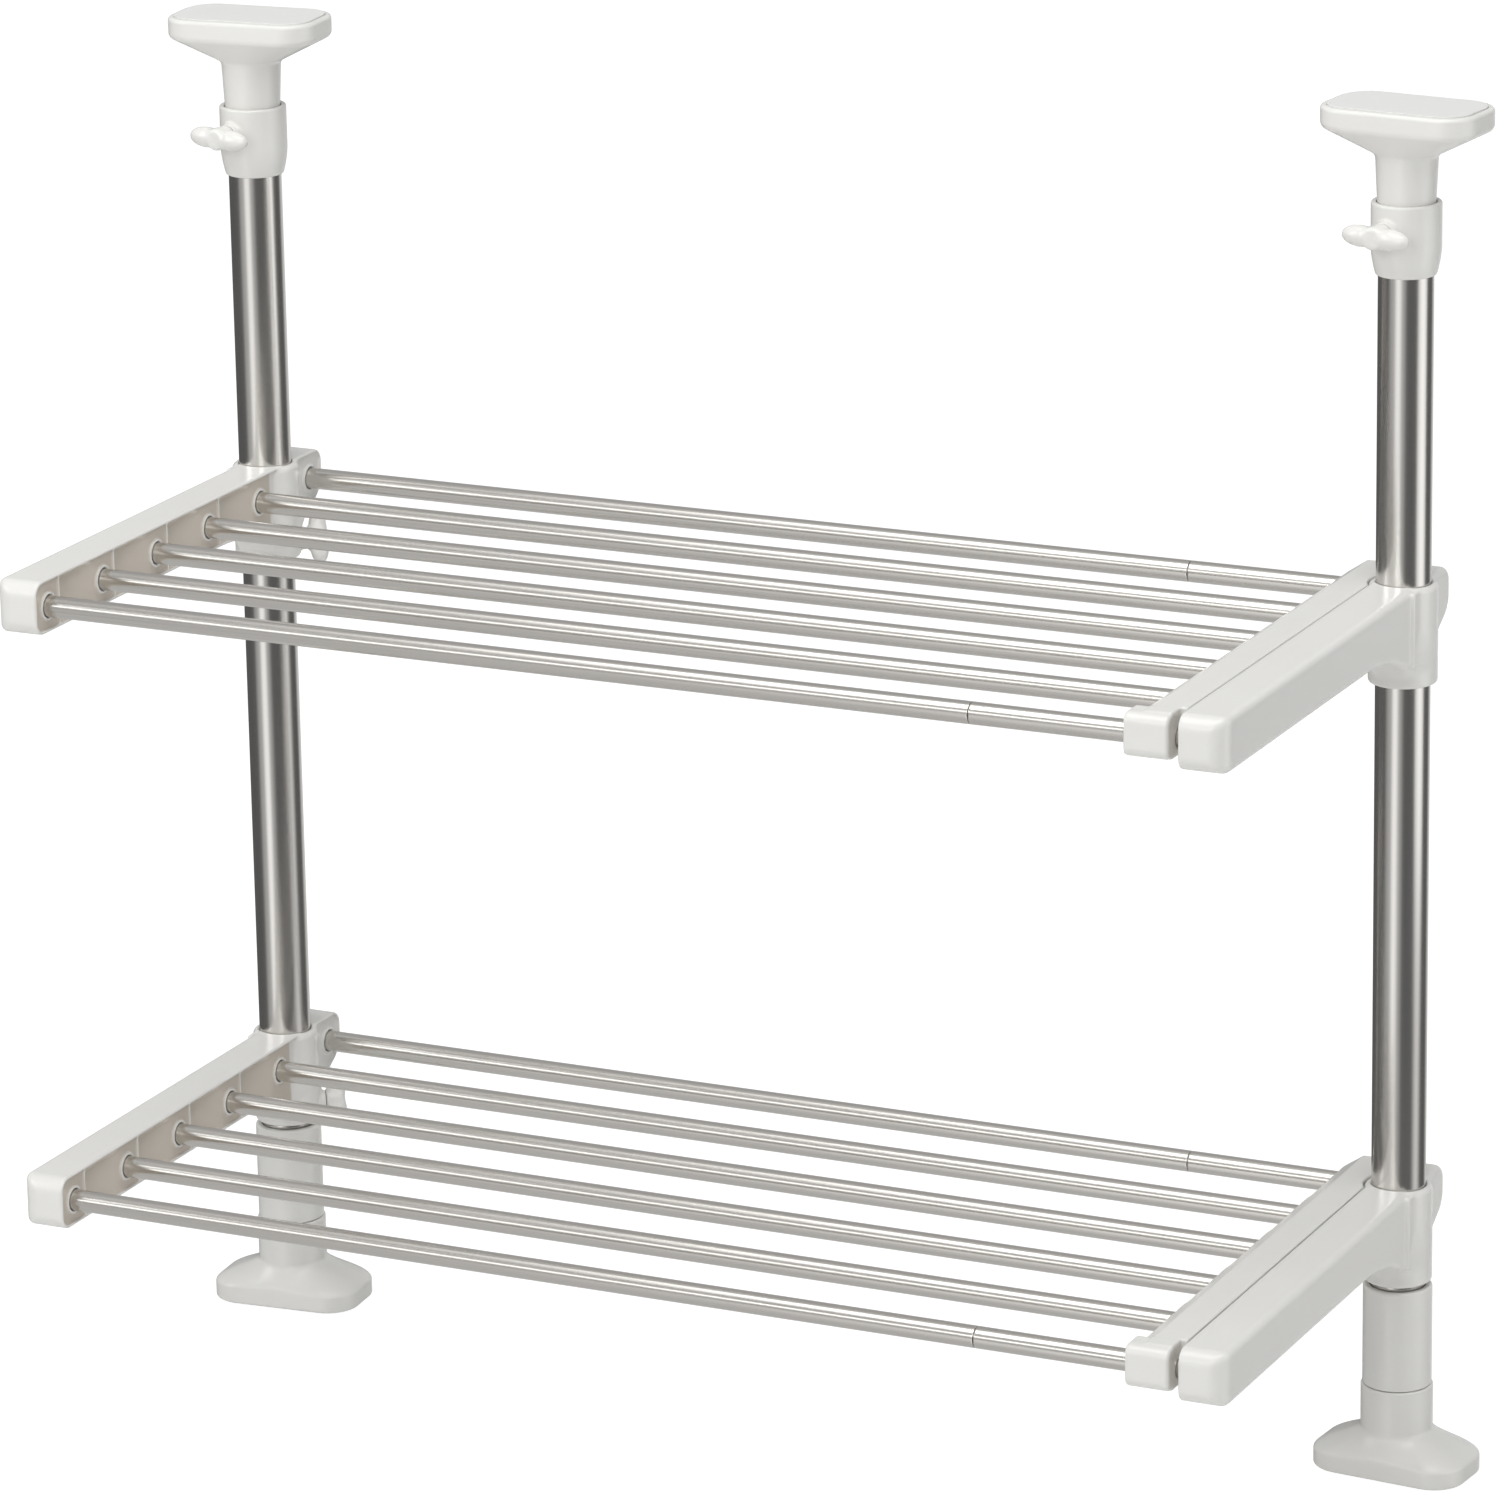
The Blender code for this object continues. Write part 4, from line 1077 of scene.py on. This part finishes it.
    def build_foot(self) -> None:
        """Build the flared foot with the spigot that the sleeve turns on, and its sole.

        With s falling from 1 at the band to 0 at the neck, the flare's reach is
        neck + (half length - neck) s^2 (3 - 2 s), which leaves both upright.
        """
        low, high = self.box("foot")
        half, neck = 0.5 * self.plate_length, self.foot_neck_radius
        inner = half - self.sole_margin + SEAT_GAP
        recess = self.sole_thickness + SEAT_GAP
        lip_low = self.foot_neck_top + 2.0 * SEAT_GAP + self.sleeve_flange
        base = filleted(
            [
                (inner, recess, 0.0),
                (inner, low.z, 0.0004),
                (half, low.z, 0.0014),
                (half, self.foot_band, 0.0),
            ],
            closed=False,
        )
        fall = np.linspace(1.0, 0.0, self.foot_flare_rings)[1:]
        reach = neck + (half - neck) * fall**2 * (3.0 - 2.0 * fall)
        flare = np.stack([reach, self.foot_band + self.foot_flare * (1.0 - fall)], axis=1)
        top = filleted(
            [
                (neck, self.foot_band + self.foot_flare + 0.0004, 0.0),
                (neck, self.foot_neck_top, 0.0008),
                (self.spigot_radius, self.foot_neck_top, 0.0003),
                (self.spigot_radius, lip_low, 0.0002),
                (self.spigot_radius + self.spigot_lip, lip_low + self.spigot_lip_rise, 0.0002),
                (self.spigot_radius, high.z, 0.0002),
                (0.3 * self.spigot_radius, high.z, 0.0),
            ],
            closed=False,
        )
        outline = np.concatenate([base, flare, top])
        drawn = (np.arange(len(outline)) < len(base))[:, None]
        rings = self.plate_rings(outline, neck, drawn)
        self.build_plate("foot", "base", rings, self.askew(self.foot_turn))

    def build_plate(self, node: str, body: str, rings: Array, place: Matrix) -> None:
        """Build a foot or a pad from its rings, and the soft sheet in its recess."""
        self.add(ringed(rings, closed=False), place, node, body)
        low, high = self.box(f"{node}_sole")
        half = 0.5 * self.plate_length - self.sole_margin
        outline = filleted(
            [
                (0.6 * half, low.z, 0.0),
                (half, low.z, 0.0003),
                (half, high.z, 0.0003),
                (0.6 * half, high.z, 0.0),
            ],
            closed=False,
            steps=3,
        )
        sheet = self.plate_rings(outline, 0.0, np.ones((len(outline), 1), dtype=bool))
        self.add(ringed(sheet, closed=False), place, f"{node}_sole", body, "sheet", Slot.SOLE)

    def build_pad(self) -> None:
        """Build the flared pad with the bore that takes the stem, and its sole."""
        low, high = self.box("pad")
        half = 0.5 * self.plate_length
        neck, neck_wide = self.pad_neck_radius, self.pad_neck_top_radius
        bore = self.stem_radius + SEAT_GAP
        band_low = high.z - self.pad_band
        neck_top = band_low - self.pad_flare
        ceiling = self.box("stem")[1].z + SEAT_GAP
        floor = high.z - self.sole_thickness + self.sole_proud - SEAT_GAP
        inner = half - self.sole_margin + 0.3 * SEAT_GAP
        lower = filleted(
            [
                (0.4 * bore, ceiling, 0.0),
                (bore, ceiling, 0.0003),
                (bore, low.z, 0.0004),
                (neck, low.z, 0.0004),
                (neck_wide, neck_top, 0.0),
            ],
            closed=False,
        )[:-1]
        cone = filleted(
            [
                (neck, low.z, 0.0),
                (neck_wide, neck_top, 0.0034),
                (half, band_low, 0.0035),
                (half, high.z, 0.0),
            ],
            closed=False,
            steps=12,
        )[1:-1]
        upper = filleted(
            [
                (half, band_low, 0.0),
                (half, high.z, 0.0018),
                (inner, high.z, 0.0004),
                (inner, floor, 0.0002),
                (0.6 * half, floor, 0.0),
            ],
            closed=False,
        )[1:]
        outline = np.concatenate([lower, cone, upper])
        drawn = (np.arange(len(outline)) >= len(lower) + len(cone))[:, None]
        rings = self.plate_rings(outline, neck_wide, drawn)
        self.build_plate("pad", "head", rings, self.askew(self.pad_turn))

    def build_screw(self) -> None:
        """Build the wing screw of the collar."""
        screw = WingScrew(
            start=self.stem_radius + SEAT_GAP,
            hub_base=self.collar_boss_reach + SEAT_GAP,
            shank_radius=self.collar_shank_radius,
            span=self.collar_screw_span,
        )
        self.add(screw.surface(), self.screw_place, "collar_screw", "collar_lock")


@dataclass(frozen=True)
class Bracket:
    """One moulded bracket, measured from the post's axis and the rod height.

    Inboard runs towards the rack's middle, behind is +Y and up is +Z.
    """

    hand: Hand
    socket_radius: float
    front_rod_y: float
    pitch: float
    inboard: float = 0.0120
    outboard: float = 0.0100
    front: float = 0.2380
    rear: float = 0.0340
    top: float = 0.0130
    bottom: float = -0.0120
    past_ends: float = 0.0200
    front_corner: float = 0.0086
    inner_corner: float = 0.0014
    outer_edge: float = 0.0034
    inner_edge: float = 0.0009
    end_edge: float = 0.0070
    rear_edge: float = 0.0068
    rim_wall: float = 0.0014
    rim_depth: float = 0.0012
    # Where the pockets' painted shade ends: past the panels' floor, and in from the rim by a share
    # of its wall
    painted_shade_margin: float = 0.0012
    painted_shade_rim_share: float = 0.6
    cheek_out: float = 0.0118
    cheek_front: float = 0.0174
    cheek_bottom: float = -0.0225
    cheek_step: float = 0.0010
    cheek_corner: float = 0.0009
    ring_radius: float = 0.0157
    ring_bottom: float = -0.0338
    ring_top: float = 0.0126
    ring_top_edge: float = 0.0027
    ring_bottom_edge: float = 0.0016
    ring_fillet: float = 0.0012
    ring_low_fillet: float = 0.0040
    ring_fade_top: float = -0.006
    ring_fade: float = 0.010
    post_bore: float = 0.0128
    post_bore_rim: float = 0.0006
    gusset_start: float = 0.0660
    gusset_end: float = 0.0140
    gusset_drop: float = 0.0130
    gusset_power: float = 2.2
    lug_tip: float = -0.0070
    lug_root: float = -0.0190
    socket_depth: float = 0.0120
    socket_rim: float = 0.0005
    boss_radius: float = 0.0066
    boss_edge: float = 0.0004
    boss_root: float = 0.0008
    rib_place: float = 0.0092
    rib_width: float = 0.0012
    rib_margin: float = 0.0008
    rib_root: float = 0.0010
    panel_depth: float = 0.0046
    panel_flat: float = 0.0075
    panel_clear: float = 0.0006
    panel_low: float = 0.0024
    panel_high: float = 0.0026
    panel_edge: float = 0.0005
    panel_corner: float = 0.0010
    core_wall: float = 0.0026
    core_skin: float = 0.0024
    core_clear: float = 0.0088
    core_roof: float = 0.0040
    core_corner: float = 0.0015
    core_edge: float = 0.0010
    core_rim: float = 0.0005
    screw_boss_radius: float = 0.0052
    screw_boss_reach: float = 0.0185
    screw_boss_edge: float = 0.0005
    screw_boss_fillet: float = 0.0012
    screw_hole_radius: float = 0.0023
    cell: Triple = (0.00072, 0.00100, 0.00072)

    def side_outline(self) -> Array:
        """Return the arm's outline from the side: (behind, up) corners.

        The gusset's lower edge is bottom - drop * share^power between its start
        and the ring; the lug behind the post slopes up to its tip.  Both ends
        run on past the plan, which cuts them.
        """
        share = np.linspace(0.0, 1.0, 9)
        reach = self.gusset_start + (self.gusset_end - self.gusset_start) * share
        drop = self.gusset_drop * share**self.gusset_power
        curve = np.stack([-reach, self.bottom - drop], axis=1)
        past = self.past_ends
        slope = (self.lug_tip - self.lug_root) / (self.rear - self.gusset_end)
        front = np.array([(-self.front - past, self.top), (-self.front - past, self.bottom)])
        back = np.array(
            [
                (self.gusset_end, self.lug_root),
                (self.rear + past, self.lug_tip + slope * past),
                (self.rear + past, self.top),
            ]
        )
        return np.concatenate([front, curve, back])

    def side(self, y: Array, z: Array) -> Array:
        """Return the distance to the side outline with its two rounded ends."""
        ahead = meet(polygon(y, z, self.side_outline(), 0.0), -self.front - y, self.end_edge)
        return meet(ahead, y - self.rear, self.rear_edge)

    def recess(self, points: Array) -> Array:
        """Return painted shade: 1 inside the inner side's rim, before the ring, 0 elsewhere."""
        u, y, z = self.hand.inboard * points[:, 0], points[:, 1], points[:, 2]
        low = self.inboard - self.panel_depth - self.painted_shade_margin
        depth = span(u, low, self.inboard - 0.5 * self.rim_depth)
        edge = np.maximum(self.side(y, z) + self.painted_shade_rim_share * self.rim_wall, depth)
        return np.clip(0.5 - np.maximum(edge, y + self.ring_radius) / FINE, 0.0, 1.0)

    def form(self, x: Array, y: Array, z: Array) -> Array:
        """Return the bracket's distance field round its own post's axis.

        The side outline meets the rounded plan, whose outer side is well
        rounded and whose inner side is crisp.  The inner side is recessed
        inside a rim, a flat cheek and the ring's round join it, and the
        sockets' bosses stand between panels that repeat at each rod.
        """
        u = self.hand.inboard * x
        end = -self.front - y
        side = self.side(y, z)
        outer = rounded_wall(-self.outboard - u, end, self.front_corner, self.outer_edge)
        inner = rounded_wall(u - self.inboard, end, self.inner_corner, self.inner_edge)
        body = self.cored(meet(meet(side, *outer), *inner), u, y, z)
        recess = meet(side + self.rim_wall, self.inboard - self.rim_depth - u, FINE)
        body = cut(body, recess, FINE)
        plan = rectangle(
            u, y, (-self.cheek_out, -self.cheek_front), (0.0, 0.0), self.cheek_corner
        )
        cheek = meet(plan, span(z, self.cheek_bottom, self.top - self.cheek_step), self.cheek_step)
        body = join(body, cheek, CRISP)
        ring_edge = np.where(z > 0.0, self.ring_top_edge, self.ring_bottom_edge)
        height = span(z, self.ring_bottom, self.ring_top)
        ring = meet(np.hypot(u, y) - self.ring_radius, height, ring_edge)
        below = np.clip((self.ring_fade_top - z) / self.ring_fade, 0.0, 1.0)
        body = join(body, ring, self.ring_fillet + self.ring_low_fillet * below)
        for step in (self.panelled, self.bossed, self.bored):
            body = step(body, u, y, z)
        return body

    def behind_rod(self, y: Array, count: int, shift: float = 0.0) -> Array:
        """Return the distance behind the nearest of the front rods."""
        along = (y - self.front_rod_y) / self.pitch - shift
        return y - self.front_rod_y - self.pitch * np.clip(np.round(along), 0.0, count - 1.0)

    def cored(self, body: Array, u: Array, y: Array, z: Array) -> Array:
        """Cut the four cores that hollow the arm from below between its sockets."""
        behind = self.behind_rod(y, ROD_COUNT - 2, 0.5)
        low = (-self.outboard + self.core_wall, self.core_clear)
        high = (self.inboard - self.panel_depth - self.core_skin, self.pitch - self.core_clear)
        plan = rectangle(u, behind, low, high, self.core_corner)
        return cut(body, meet(plan, z - self.top + self.core_roof, self.core_edge), self.core_rim)

    def panelled(self, body: Array, u: Array, y: Array, z: Array) -> Array:
        """Cut the pockets between the bosses, each ramped up to the next and led by a thin rib."""
        behind = self.behind_rod(y, ROD_COUNT - 2, 0.5)
        start = self.rib_place + self.rib_width
        end = self.pitch - self.boss_radius - self.panel_clear
        floor = self.inboard - self.panel_depth
        flat = start + self.panel_flat
        slope = (self.panel_depth - self.rim_depth) / (end - flat)
        depth = (floor + np.maximum((behind - flat) * slope, 0.0) - u) / math.hypot(1.0, slope)
        plan = meet(depth, span(behind, start, end), self.panel_edge)
        height = span(z, self.bottom + self.panel_low, self.top - self.panel_high)
        body = cut(body, meet(plan, height, self.panel_corner), FINE)
        plan = meet(span(behind, self.rib_place, start), u - self.inboard + CRISP, CRISP)
        height = span(z, self.bottom + self.rib_margin, self.top - self.rib_margin)
        rib = meet(plan, meet(height, floor - self.rib_root - u, SHARP), SHARP)
        return join(body, rib, CRISP)

    def bossed(self, body: Array, u: Array, y: Array, z: Array) -> Array:
        """Add the round bosses of the sockets and the boss of the clamp screw."""
        from_rod = np.hypot(self.behind_rod(y, ROD_COUNT), z)
        root = self.inboard - self.panel_depth - self.boss_root
        length = span(u, root, self.inboard - SHARP)
        body = join(body, meet(from_rod - self.boss_radius, length, self.boss_edge), FINE)
        out, from_screw = self.from_screw(u, y, z)
        length = span(out, self.post_bore, self.screw_boss_reach)
        boss = meet(from_screw - self.screw_boss_radius, length, self.screw_boss_edge)
        return join(body, boss, self.screw_boss_fillet)

    def from_screw(self, u: Array, y: Array, z: Array) -> tuple[Array, Array]:
        """Return the distance out along the clamp screw and the distance from its axis."""
        out, beside = along_bearing(CLAMP_ANGLE, u, y)
        return out, np.hypot(beside, z - CLAMP_DROP)

    def bored(self, body: Array, u: Array, y: Array, z: Array) -> Array:
        """Cut the sockets, the post's bore and the screw's hole."""
        from_rod = np.hypot(self.behind_rod(y, ROD_COUNT), z)
        end = self.inboard - self.socket_depth - u
        body = cut(body, meet(from_rod - self.socket_radius, end, CRISP), self.socket_rim)
        body = cut(body, np.hypot(u, y) - self.post_bore, self.post_bore_rim)
        out, from_screw = self.from_screw(u, y, z)
        return cut(body, meet(from_screw - self.screw_hole_radius, -out, SHARP), FINE)

    def surface(self) -> Surface:
        """Return the bracket's surface round its own post's axis."""
        inboard = self.hand.inboard
        low_x, high_x = sorted((-inboard * self.ring_radius, inboard * self.screw_boss_reach))
        low = (low_x, -self.front, self.ring_bottom)
        poured = Casting(low, (high_x, self.rear, self.top), self.cell).pour(self.form)
        # Each point carries its share of the pockets' painted shade
        return replace(poured, recess=self.recess(poured.points))


@dataclass(frozen=True)
class JoinerBar:
    """The moulded bar that ties the outer tubes' right ends.

    Inboard is measured from the right post's axis towards the rack's middle.
    """

    front_rod_y: float
    pitch: float
    right_face: float = 0.0133
    top_left: float = 0.0285
    left_face: float = 0.0385
    left_chamfer: float = 0.0070
    top: float = 0.0120
    bottom: float = -0.0080
    front: float = 0.2330
    rear: float = 0.0310
    edge: float = 0.0012
    end_wall: float = 0.0058
    block_front: float = 0.2380
    block_length: float = 0.0150
    block_inboard: float = 0.0370
    block_outboard: float = 0.0163
    block_front_edge: float = 0.0045
    block_rear_edge: float = 0.0020
    block_side_edge: float = 0.0016
    block_fillet: float = 0.0008
    scallop_half: float = 0.0140
    scallop_depth: float = 0.0012
    corner: float = 0.0010
    notch_rim: float = 0.0006
    bore_rim: float = 0.0005
    right_rim: float = 0.0004
    ring_clearance: float = 0.0163
    cell: Triple = (0.00060, 0.00090, 0.00060)

    def form(self, x: Array, y: Array, z: Array) -> Array:
        """Return the bar's distance field round the right post's axis.

        A rounded section runs from front to rear and joins the end block, which
        stands back from the bracket's arm; the tubes' bores, shallow scallops
        between them and the ring's round are cut.
        """
        u = -x
        section = np.array(
            [
                (self.right_face, self.bottom),
                (self.left_face, self.bottom),
                (self.left_face, self.top - self.left_chamfer),
                (self.top_left, self.top),
                (self.right_face, self.top),
            ]
        )
        length = span(y, -self.front, self.rear)
        bar = meet(polygon(u, z, section, self.corner), length, self.edge)
        end = self.block_length - self.block_front
        bar = cut(bar, meet(u - self.block_outboard - CRISP, y - end, self.corner), self.notch_rim)
        height = span(z, self.bottom, self.top - SEAT_GAP)
        side = meet(height, -self.block_front - y, self.block_front_edge)
        side = meet(side, y - end, self.block_rear_edge)
        width = span(u, self.block_outboard, self.block_inboard)
        body = join(bar, meet(side, width, self.block_side_edge), self.block_fillet)
        along = (y - self.front_rod_y) / self.pitch
        bay = np.clip(np.round(along - 0.5), 0.0, ROD_COUNT - 2.0) + 0.5
        between = np.abs(y - self.front_rod_y - self.pitch * bay) - self.scallop_half
        scallop = meet(between, self.left_face - self.scallop_depth - u, self.corner)
        body = cut(body, scallop, self.bore_rim)
        body = cut(body, np.hypot(u, y) - self.ring_clearance, self.right_rim)
        rod = np.clip(np.round(along), 0.0, ROD_COUNT - 1.0)
        from_rod = np.hypot(y - self.front_rod_y - self.pitch * rod, z)
        tube_bore = meet(from_rod - TUBE_BORE, self.right_face + self.end_wall - u, SHARP)
        body = cut(body, tube_bore, self.bore_rim)
        return cut(body, from_rod - ROD_BORE, self.right_rim)

    def surface(self) -> Surface:
        """Return the bar's surface round the right post's axis."""
        low = (-self.left_face, -self.block_front, self.bottom)
        high = (-self.right_face, self.rear, self.top)
        return Casting(low, high, self.cell).pour(self.form)


@dataclass(frozen=True)
class Mouldings:
    """The surfaces that both shelves share, each worked out once."""

    brackets: dict[Hand, Surface]
    bar: Surface
    screw: Surface

    @classmethod
    def cast(cls) -> "Mouldings":
        """Work out the brackets, the bar and the clamp screw from the rods' places."""
        front_y = centre_of("lower_outer_tube_6").y
        rear_y = centre_of("lower_outer_tube_1").y
        pitch = (rear_y - front_y) / (ROD_COUNT - 1)
        brackets = {
            hand: Bracket(hand, bore, front_y, pitch).surface()
            for hand, bore in zip(Hand, (TUBE_BORE, ROD_BORE))
        }
        bar = JoinerBar(front_y, pitch).surface()
        screw = WingScrew(
            start=0.0128, hub_base=0.0188, shank_radius=0.0020, span=0.0130, wing_length=0.0068
        )
        return cls(brackets, bar, screw.surface())


@dataclass(frozen=True)
class ShelfAssembly(Assembly):
    """One shelf: two brackets, the joiner bar, the rods, lock sleeves and clamp screws."""

    mouldings: Mouldings
    columns: int = 56
    tube_radius: float = 0.0050
    tube_wall: float = 0.0007
    rod_radius: float = 0.0040
    rod_wall: float = 0.0006
    edge_share: float = 0.35
    screw_roll: float = math.radians(55.0)

    def corner(self, hand: Hand) -> Vector:
        """Return the crossing of a post's axis and the rods' height."""
        post = centre_of(f"{hand.value}_stem")
        return Vector((post.x, post.y, centre_of(f"{self.name}_outer_tube_1").z))

    def build(self) -> None:
        """Build every piece of the shelf."""
        for hand in Hand:
            self.build_side(hand)
        place = Matrix.Translation(self.corner(Hand.RIGHT))
        self.add(self.mouldings.bar, place, "joiner_bar", "shelf_left")
        for index in range(1, ROD_COUNT + 1):
            self.tube(f"outer_tube_{index}", "shelf_left", self.tube_radius, self.tube_wall)
            self.tube(f"inner_rod_{index}", "shelf_right", self.rod_radius, self.rod_wall)
        for end in ("rear", "front"):
            self.tube(f"lock_sleeve_{end}", f"{end}_lock", self.tube_radius, self.tube_wall)

    def build_side(self, hand: Hand) -> None:
        """Build one side's bracket and the wing screw that clamps its ring."""
        side, corner = hand.value, self.corner(hand)
        bracket = self.mouldings.brackets[hand]
        self.add(bracket, Matrix.Translation(corner), f"{side}_bracket", f"shelf_{side}")
        angle = CLAMP_ANGLE if hand is Hand.LEFT else math.pi - CLAMP_ANGLE
        place = laid_out(corner + Vector((0.0, 0.0, CLAMP_DROP)), angle, self.screw_roll)
        self.add(self.mouldings.screw, place, f"{side}_clamp_screw", f"{side}_clamp")

    def tube(self, node: str, body: str, radius: float, wall: float) -> None:
        """Build a level tube with softened ends where its solid lies.

        Args:
            node: The solid's name, without its start.
            body: The body's name, without its start.
            radius: Outer radius.
            wall: Wall thickness.
        """
        low, high = self.box(node)
        centre = (low + high) * 0.5
        outline = tube_outline(radius, wall, (0.0, high.x - low.x), self.edge_share)
        place = laid_out(Vector((low.x, centre.y, centre.z)), 0.0)
        self.add(turned(outline, self.columns), place, node, body, "steel", Slot.ROD)


@dataclass(frozen=True)
class Band:
    """A level belt of the tent, between two elevations in degrees."""

    low: float
    high: float
    soft: float
    level: float


@dataclass(frozen=True)
class Glow:
    """A soft box as the metal mirrors it, in degrees of azimuth and elevation."""

    azimuth: tuple[float, float]
    azimuth_soft: float
    elevation: tuple[float, float]
    elevation_soft: float
    level: float

    def term(self, azimuth: Term, elevation: Term) -> Term:
        """Return the soft box's light towards a direction."""
        across = azimuth.within(*self.azimuth, self.azimuth_soft)
        return self.level * across * elevation.within(*self.elevation, self.elevation_soft)


@dataclass(frozen=True)
class Lamp:
    """A soft box that lights the rack, in metres, watts and degrees from its middle."""

    name: str
    azimuth: float
    elevation: float
    distance: float
    width: float
    height: float
    power: float

    def build(self, centre: Vector) -> None:
        """Hang the lamp so that it faces the rack's middle."""
        away = towards(math.radians(self.azimuth), math.radians(self.elevation))
        data = bpy.data.lights.new(self.name, "AREA")
        data.shape = "RECTANGLE"
        data.size, data.size_y = self.width, self.height
        data.energy = self.power
        lamp = bpy.data.objects.new(self.name, data)
        bpy.context.scene.collection.objects.link(lamp)
        turn = away.to_track_quat("Z", "Y").to_matrix().to_4x4()
        lamp.matrix_world = Matrix.Translation(centre + away * self.distance) @ turn
        LOG.info("%s: %.0f W", self.name, self.power)


@dataclass(frozen=True)
class Studio:
    """Camera, lamps, floor and the light tent that the metal mirrors.

    The key light is in two halves, because the level rods mirror the gap
    between them and so their streak is the tent's thin soft box.
    """

    camera_place: Triple = (1.4589, -3.1201, 1.3392)
    azimuth: float = math.radians(25.60)
    pitch: float = math.radians(16.57)
    roll: float = math.radians(-0.97)
    lens: float = 184.5
    sensor: float = 36.0
    clip: tuple[float, float] = (0.1, 60.0)
    floor_half: float = 14.0
    floor_level: float = -0.0006
    floor_colour: Triple = (0.86, 0.86, 0.855)
    floor_glow: float = 1.22
    floor_glow_share: float = 0.80
    ambient_colour: Triple = (0.97, 0.985, 1.0)
    ambient: float = 0.42
    lamp_centre: Triple = (0.0, -0.10, 0.30)
    lamps: tuple[Lamp, ...] = (
        Lamp("key_softbox_left", -56.0, 24.0, 2.4, 0.8, 1.1, 9.2),
        Lamp("key_softbox_right", 5.0, 24.0, 2.4, 0.8, 1.1, 9.9),
        Lamp("top_softbox", 10.0, 72.0, 2.2, 2.2, 1.6, 29.0),
        Lamp("fill_softbox", 98.0, 8.0, 1.0, 0.60, 0.80, 1.00),
    )
    bands: tuple[Band, ...] = (
        Band(-95.0, -30.0, 6.0, 0.60),
        Band(-30.0, 2.0, 5.0, 0.12),
        Band(2.0, 95.0, 6.0, 0.46),
        Band(62.0, 95.0, 8.0, 0.28),
    )
    glows: tuple[Glow, ...] = (
        Glow((-58.0, -2.0), 9.0, (17.0, 25.0), 3.0, 3.00),
        Glow((-25.0, 5.0), 12.0, (-60.0, -4.0), 5.0, 1.42),
        Glow((-50.0, 22.0), 12.0, (-60.0, 10.0), 6.0, 0.52),
        Glow((80.0, 112.0), 14.0, (-60.0, 20.0), 6.0, 0.85),
        Glow((158.0, 200.0), 12.0, (-60.0, 30.0), 6.0, 0.75),
        Glow((-200.0, -160.0), 12.0, (-60.0, 30.0), 6.0, 0.75),
    )

    def build(self) -> None:
        """Set up the view, the floor, the tent and the lamps."""
        self.build_camera()
        self.build_floor()
        self.build_tent()
        for lamp in self.lamps:
            lamp.build(Vector(self.lamp_centre))
        bpy.context.scene.view_settings.view_transform = "Standard"

    def build_camera(self) -> None:
        """Place the camera at the photograph's viewing angle."""
        data = bpy.data.cameras.new("camera")
        data.lens = self.lens
        data.sensor_width = self.sensor
        data.clip_start, data.clip_end = self.clip
        camera = bpy.data.objects.new("camera", data)
        bpy.context.scene.collection.objects.link(camera)
        back = towards(self.azimuth, self.pitch)
        right = Vector((math.cos(self.azimuth), math.sin(self.azimuth), 0.0))
        up = right.cross(-back)
        rolled_right = right * math.cos(self.roll) + up * math.sin(self.roll)
        rolled_up = up * math.cos(self.roll) - right * math.sin(self.roll)
        turn = Matrix((rolled_right, rolled_up, back)).transposed()
        camera.matrix_world = Matrix.Translation(self.camera_place) @ turn.to_4x4()
        bpy.context.scene.camera = camera

    def build_floor(self) -> None:
        """Lay the pale floor, which shows white but keeps the rack's shadow."""
        half, level = self.floor_half, self.floor_level
        corners = [(-half, -half), (half, -half), (half, half), (-half, half)]
        points = np.array([(x, y, level) for x, y in corners])
        floor = Surface(points, np.array([[0, 1, 2, 3]])).to_object("floor", smooth=False)
        floor.visible_glossy = False
        material, graph = new_graph("white_floor")
        camera, through = graph.rays("Camera", "Transmission")
        share = camera.larger(through) * self.floor_glow_share
        paper = graph.add("BsdfDiffuse", {"Color": self.floor_colour})
        white = graph.add("Emission", {"Color": WHITE, "Strength": self.floor_glow})
        mix = graph.add("MixShader", {0: share, 1: paper, 2: white})
        graph.add("OutputMaterial", {"Surface": mix})
        floor.data.materials.append(material)

    def build_tent(self) -> None:
        """Make the world: soft light all round, white to look at, banded in reflections.

        Azimuth turns from -Y towards +X and elevation rises from the horizon.
        Reflections meet a pale tent with bright soft boxes, a dark belt at the
        level of the horizon and a pale grey ground.
        """
        world = bpy.data.worlds.new("light_tent")
        world.use_nodes = True
        bpy.context.scene.world = world
        graph = Graph(world.node_tree)
        ray = graph.value("TexCoord", output="Generated")
        parts = graph.add("SeparateXYZ", {0: ray})
        x, y, z = (Term(graph, output) for output in parts.outputs)
        azimuth = graph.maths("ARCTAN2", x, 0.0 - y) * DEGREES
        elevation = graph.maths("ARCSINE", z) * DEGREES
        level = 0.0
        for band in self.bands:
            level = level + band.level * elevation.within(band.low, band.high, band.soft)
        for glow in self.glows:
            level = level.larger(glow.term(azimuth, elevation))
        camera, glossy, through = graph.rays("Camera", "Glossy", "Transmission")
        seen = camera.larger(glossy).larger(through)
        strength = 1.0 - glossy * (1.0 - level)
        shown = graph.add("Background", {"Color": WHITE, "Strength": strength})
        ambient = {"Color": self.ambient_colour, "Strength": self.ambient}
        mix = graph.add("MixShader", {0: seen, 1: graph.add("Background", ambient), 2: shown})
        graph.add("OutputWorld", {"Surface": mix})


def main() -> None:
    """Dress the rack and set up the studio."""
    logging.basicConfig(level=logging.INFO, format="%(message)s")
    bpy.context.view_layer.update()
    finishes = Finishes()
    for hand in Hand:
        PostAssembly(finishes, hand).build()
    mouldings = Mouldings.cast()
    for tier in Tier:
        ShelfAssembly(finishes, tier, mouldings).build()
    Studio().build()


if __name__ == "__main__":
    main()
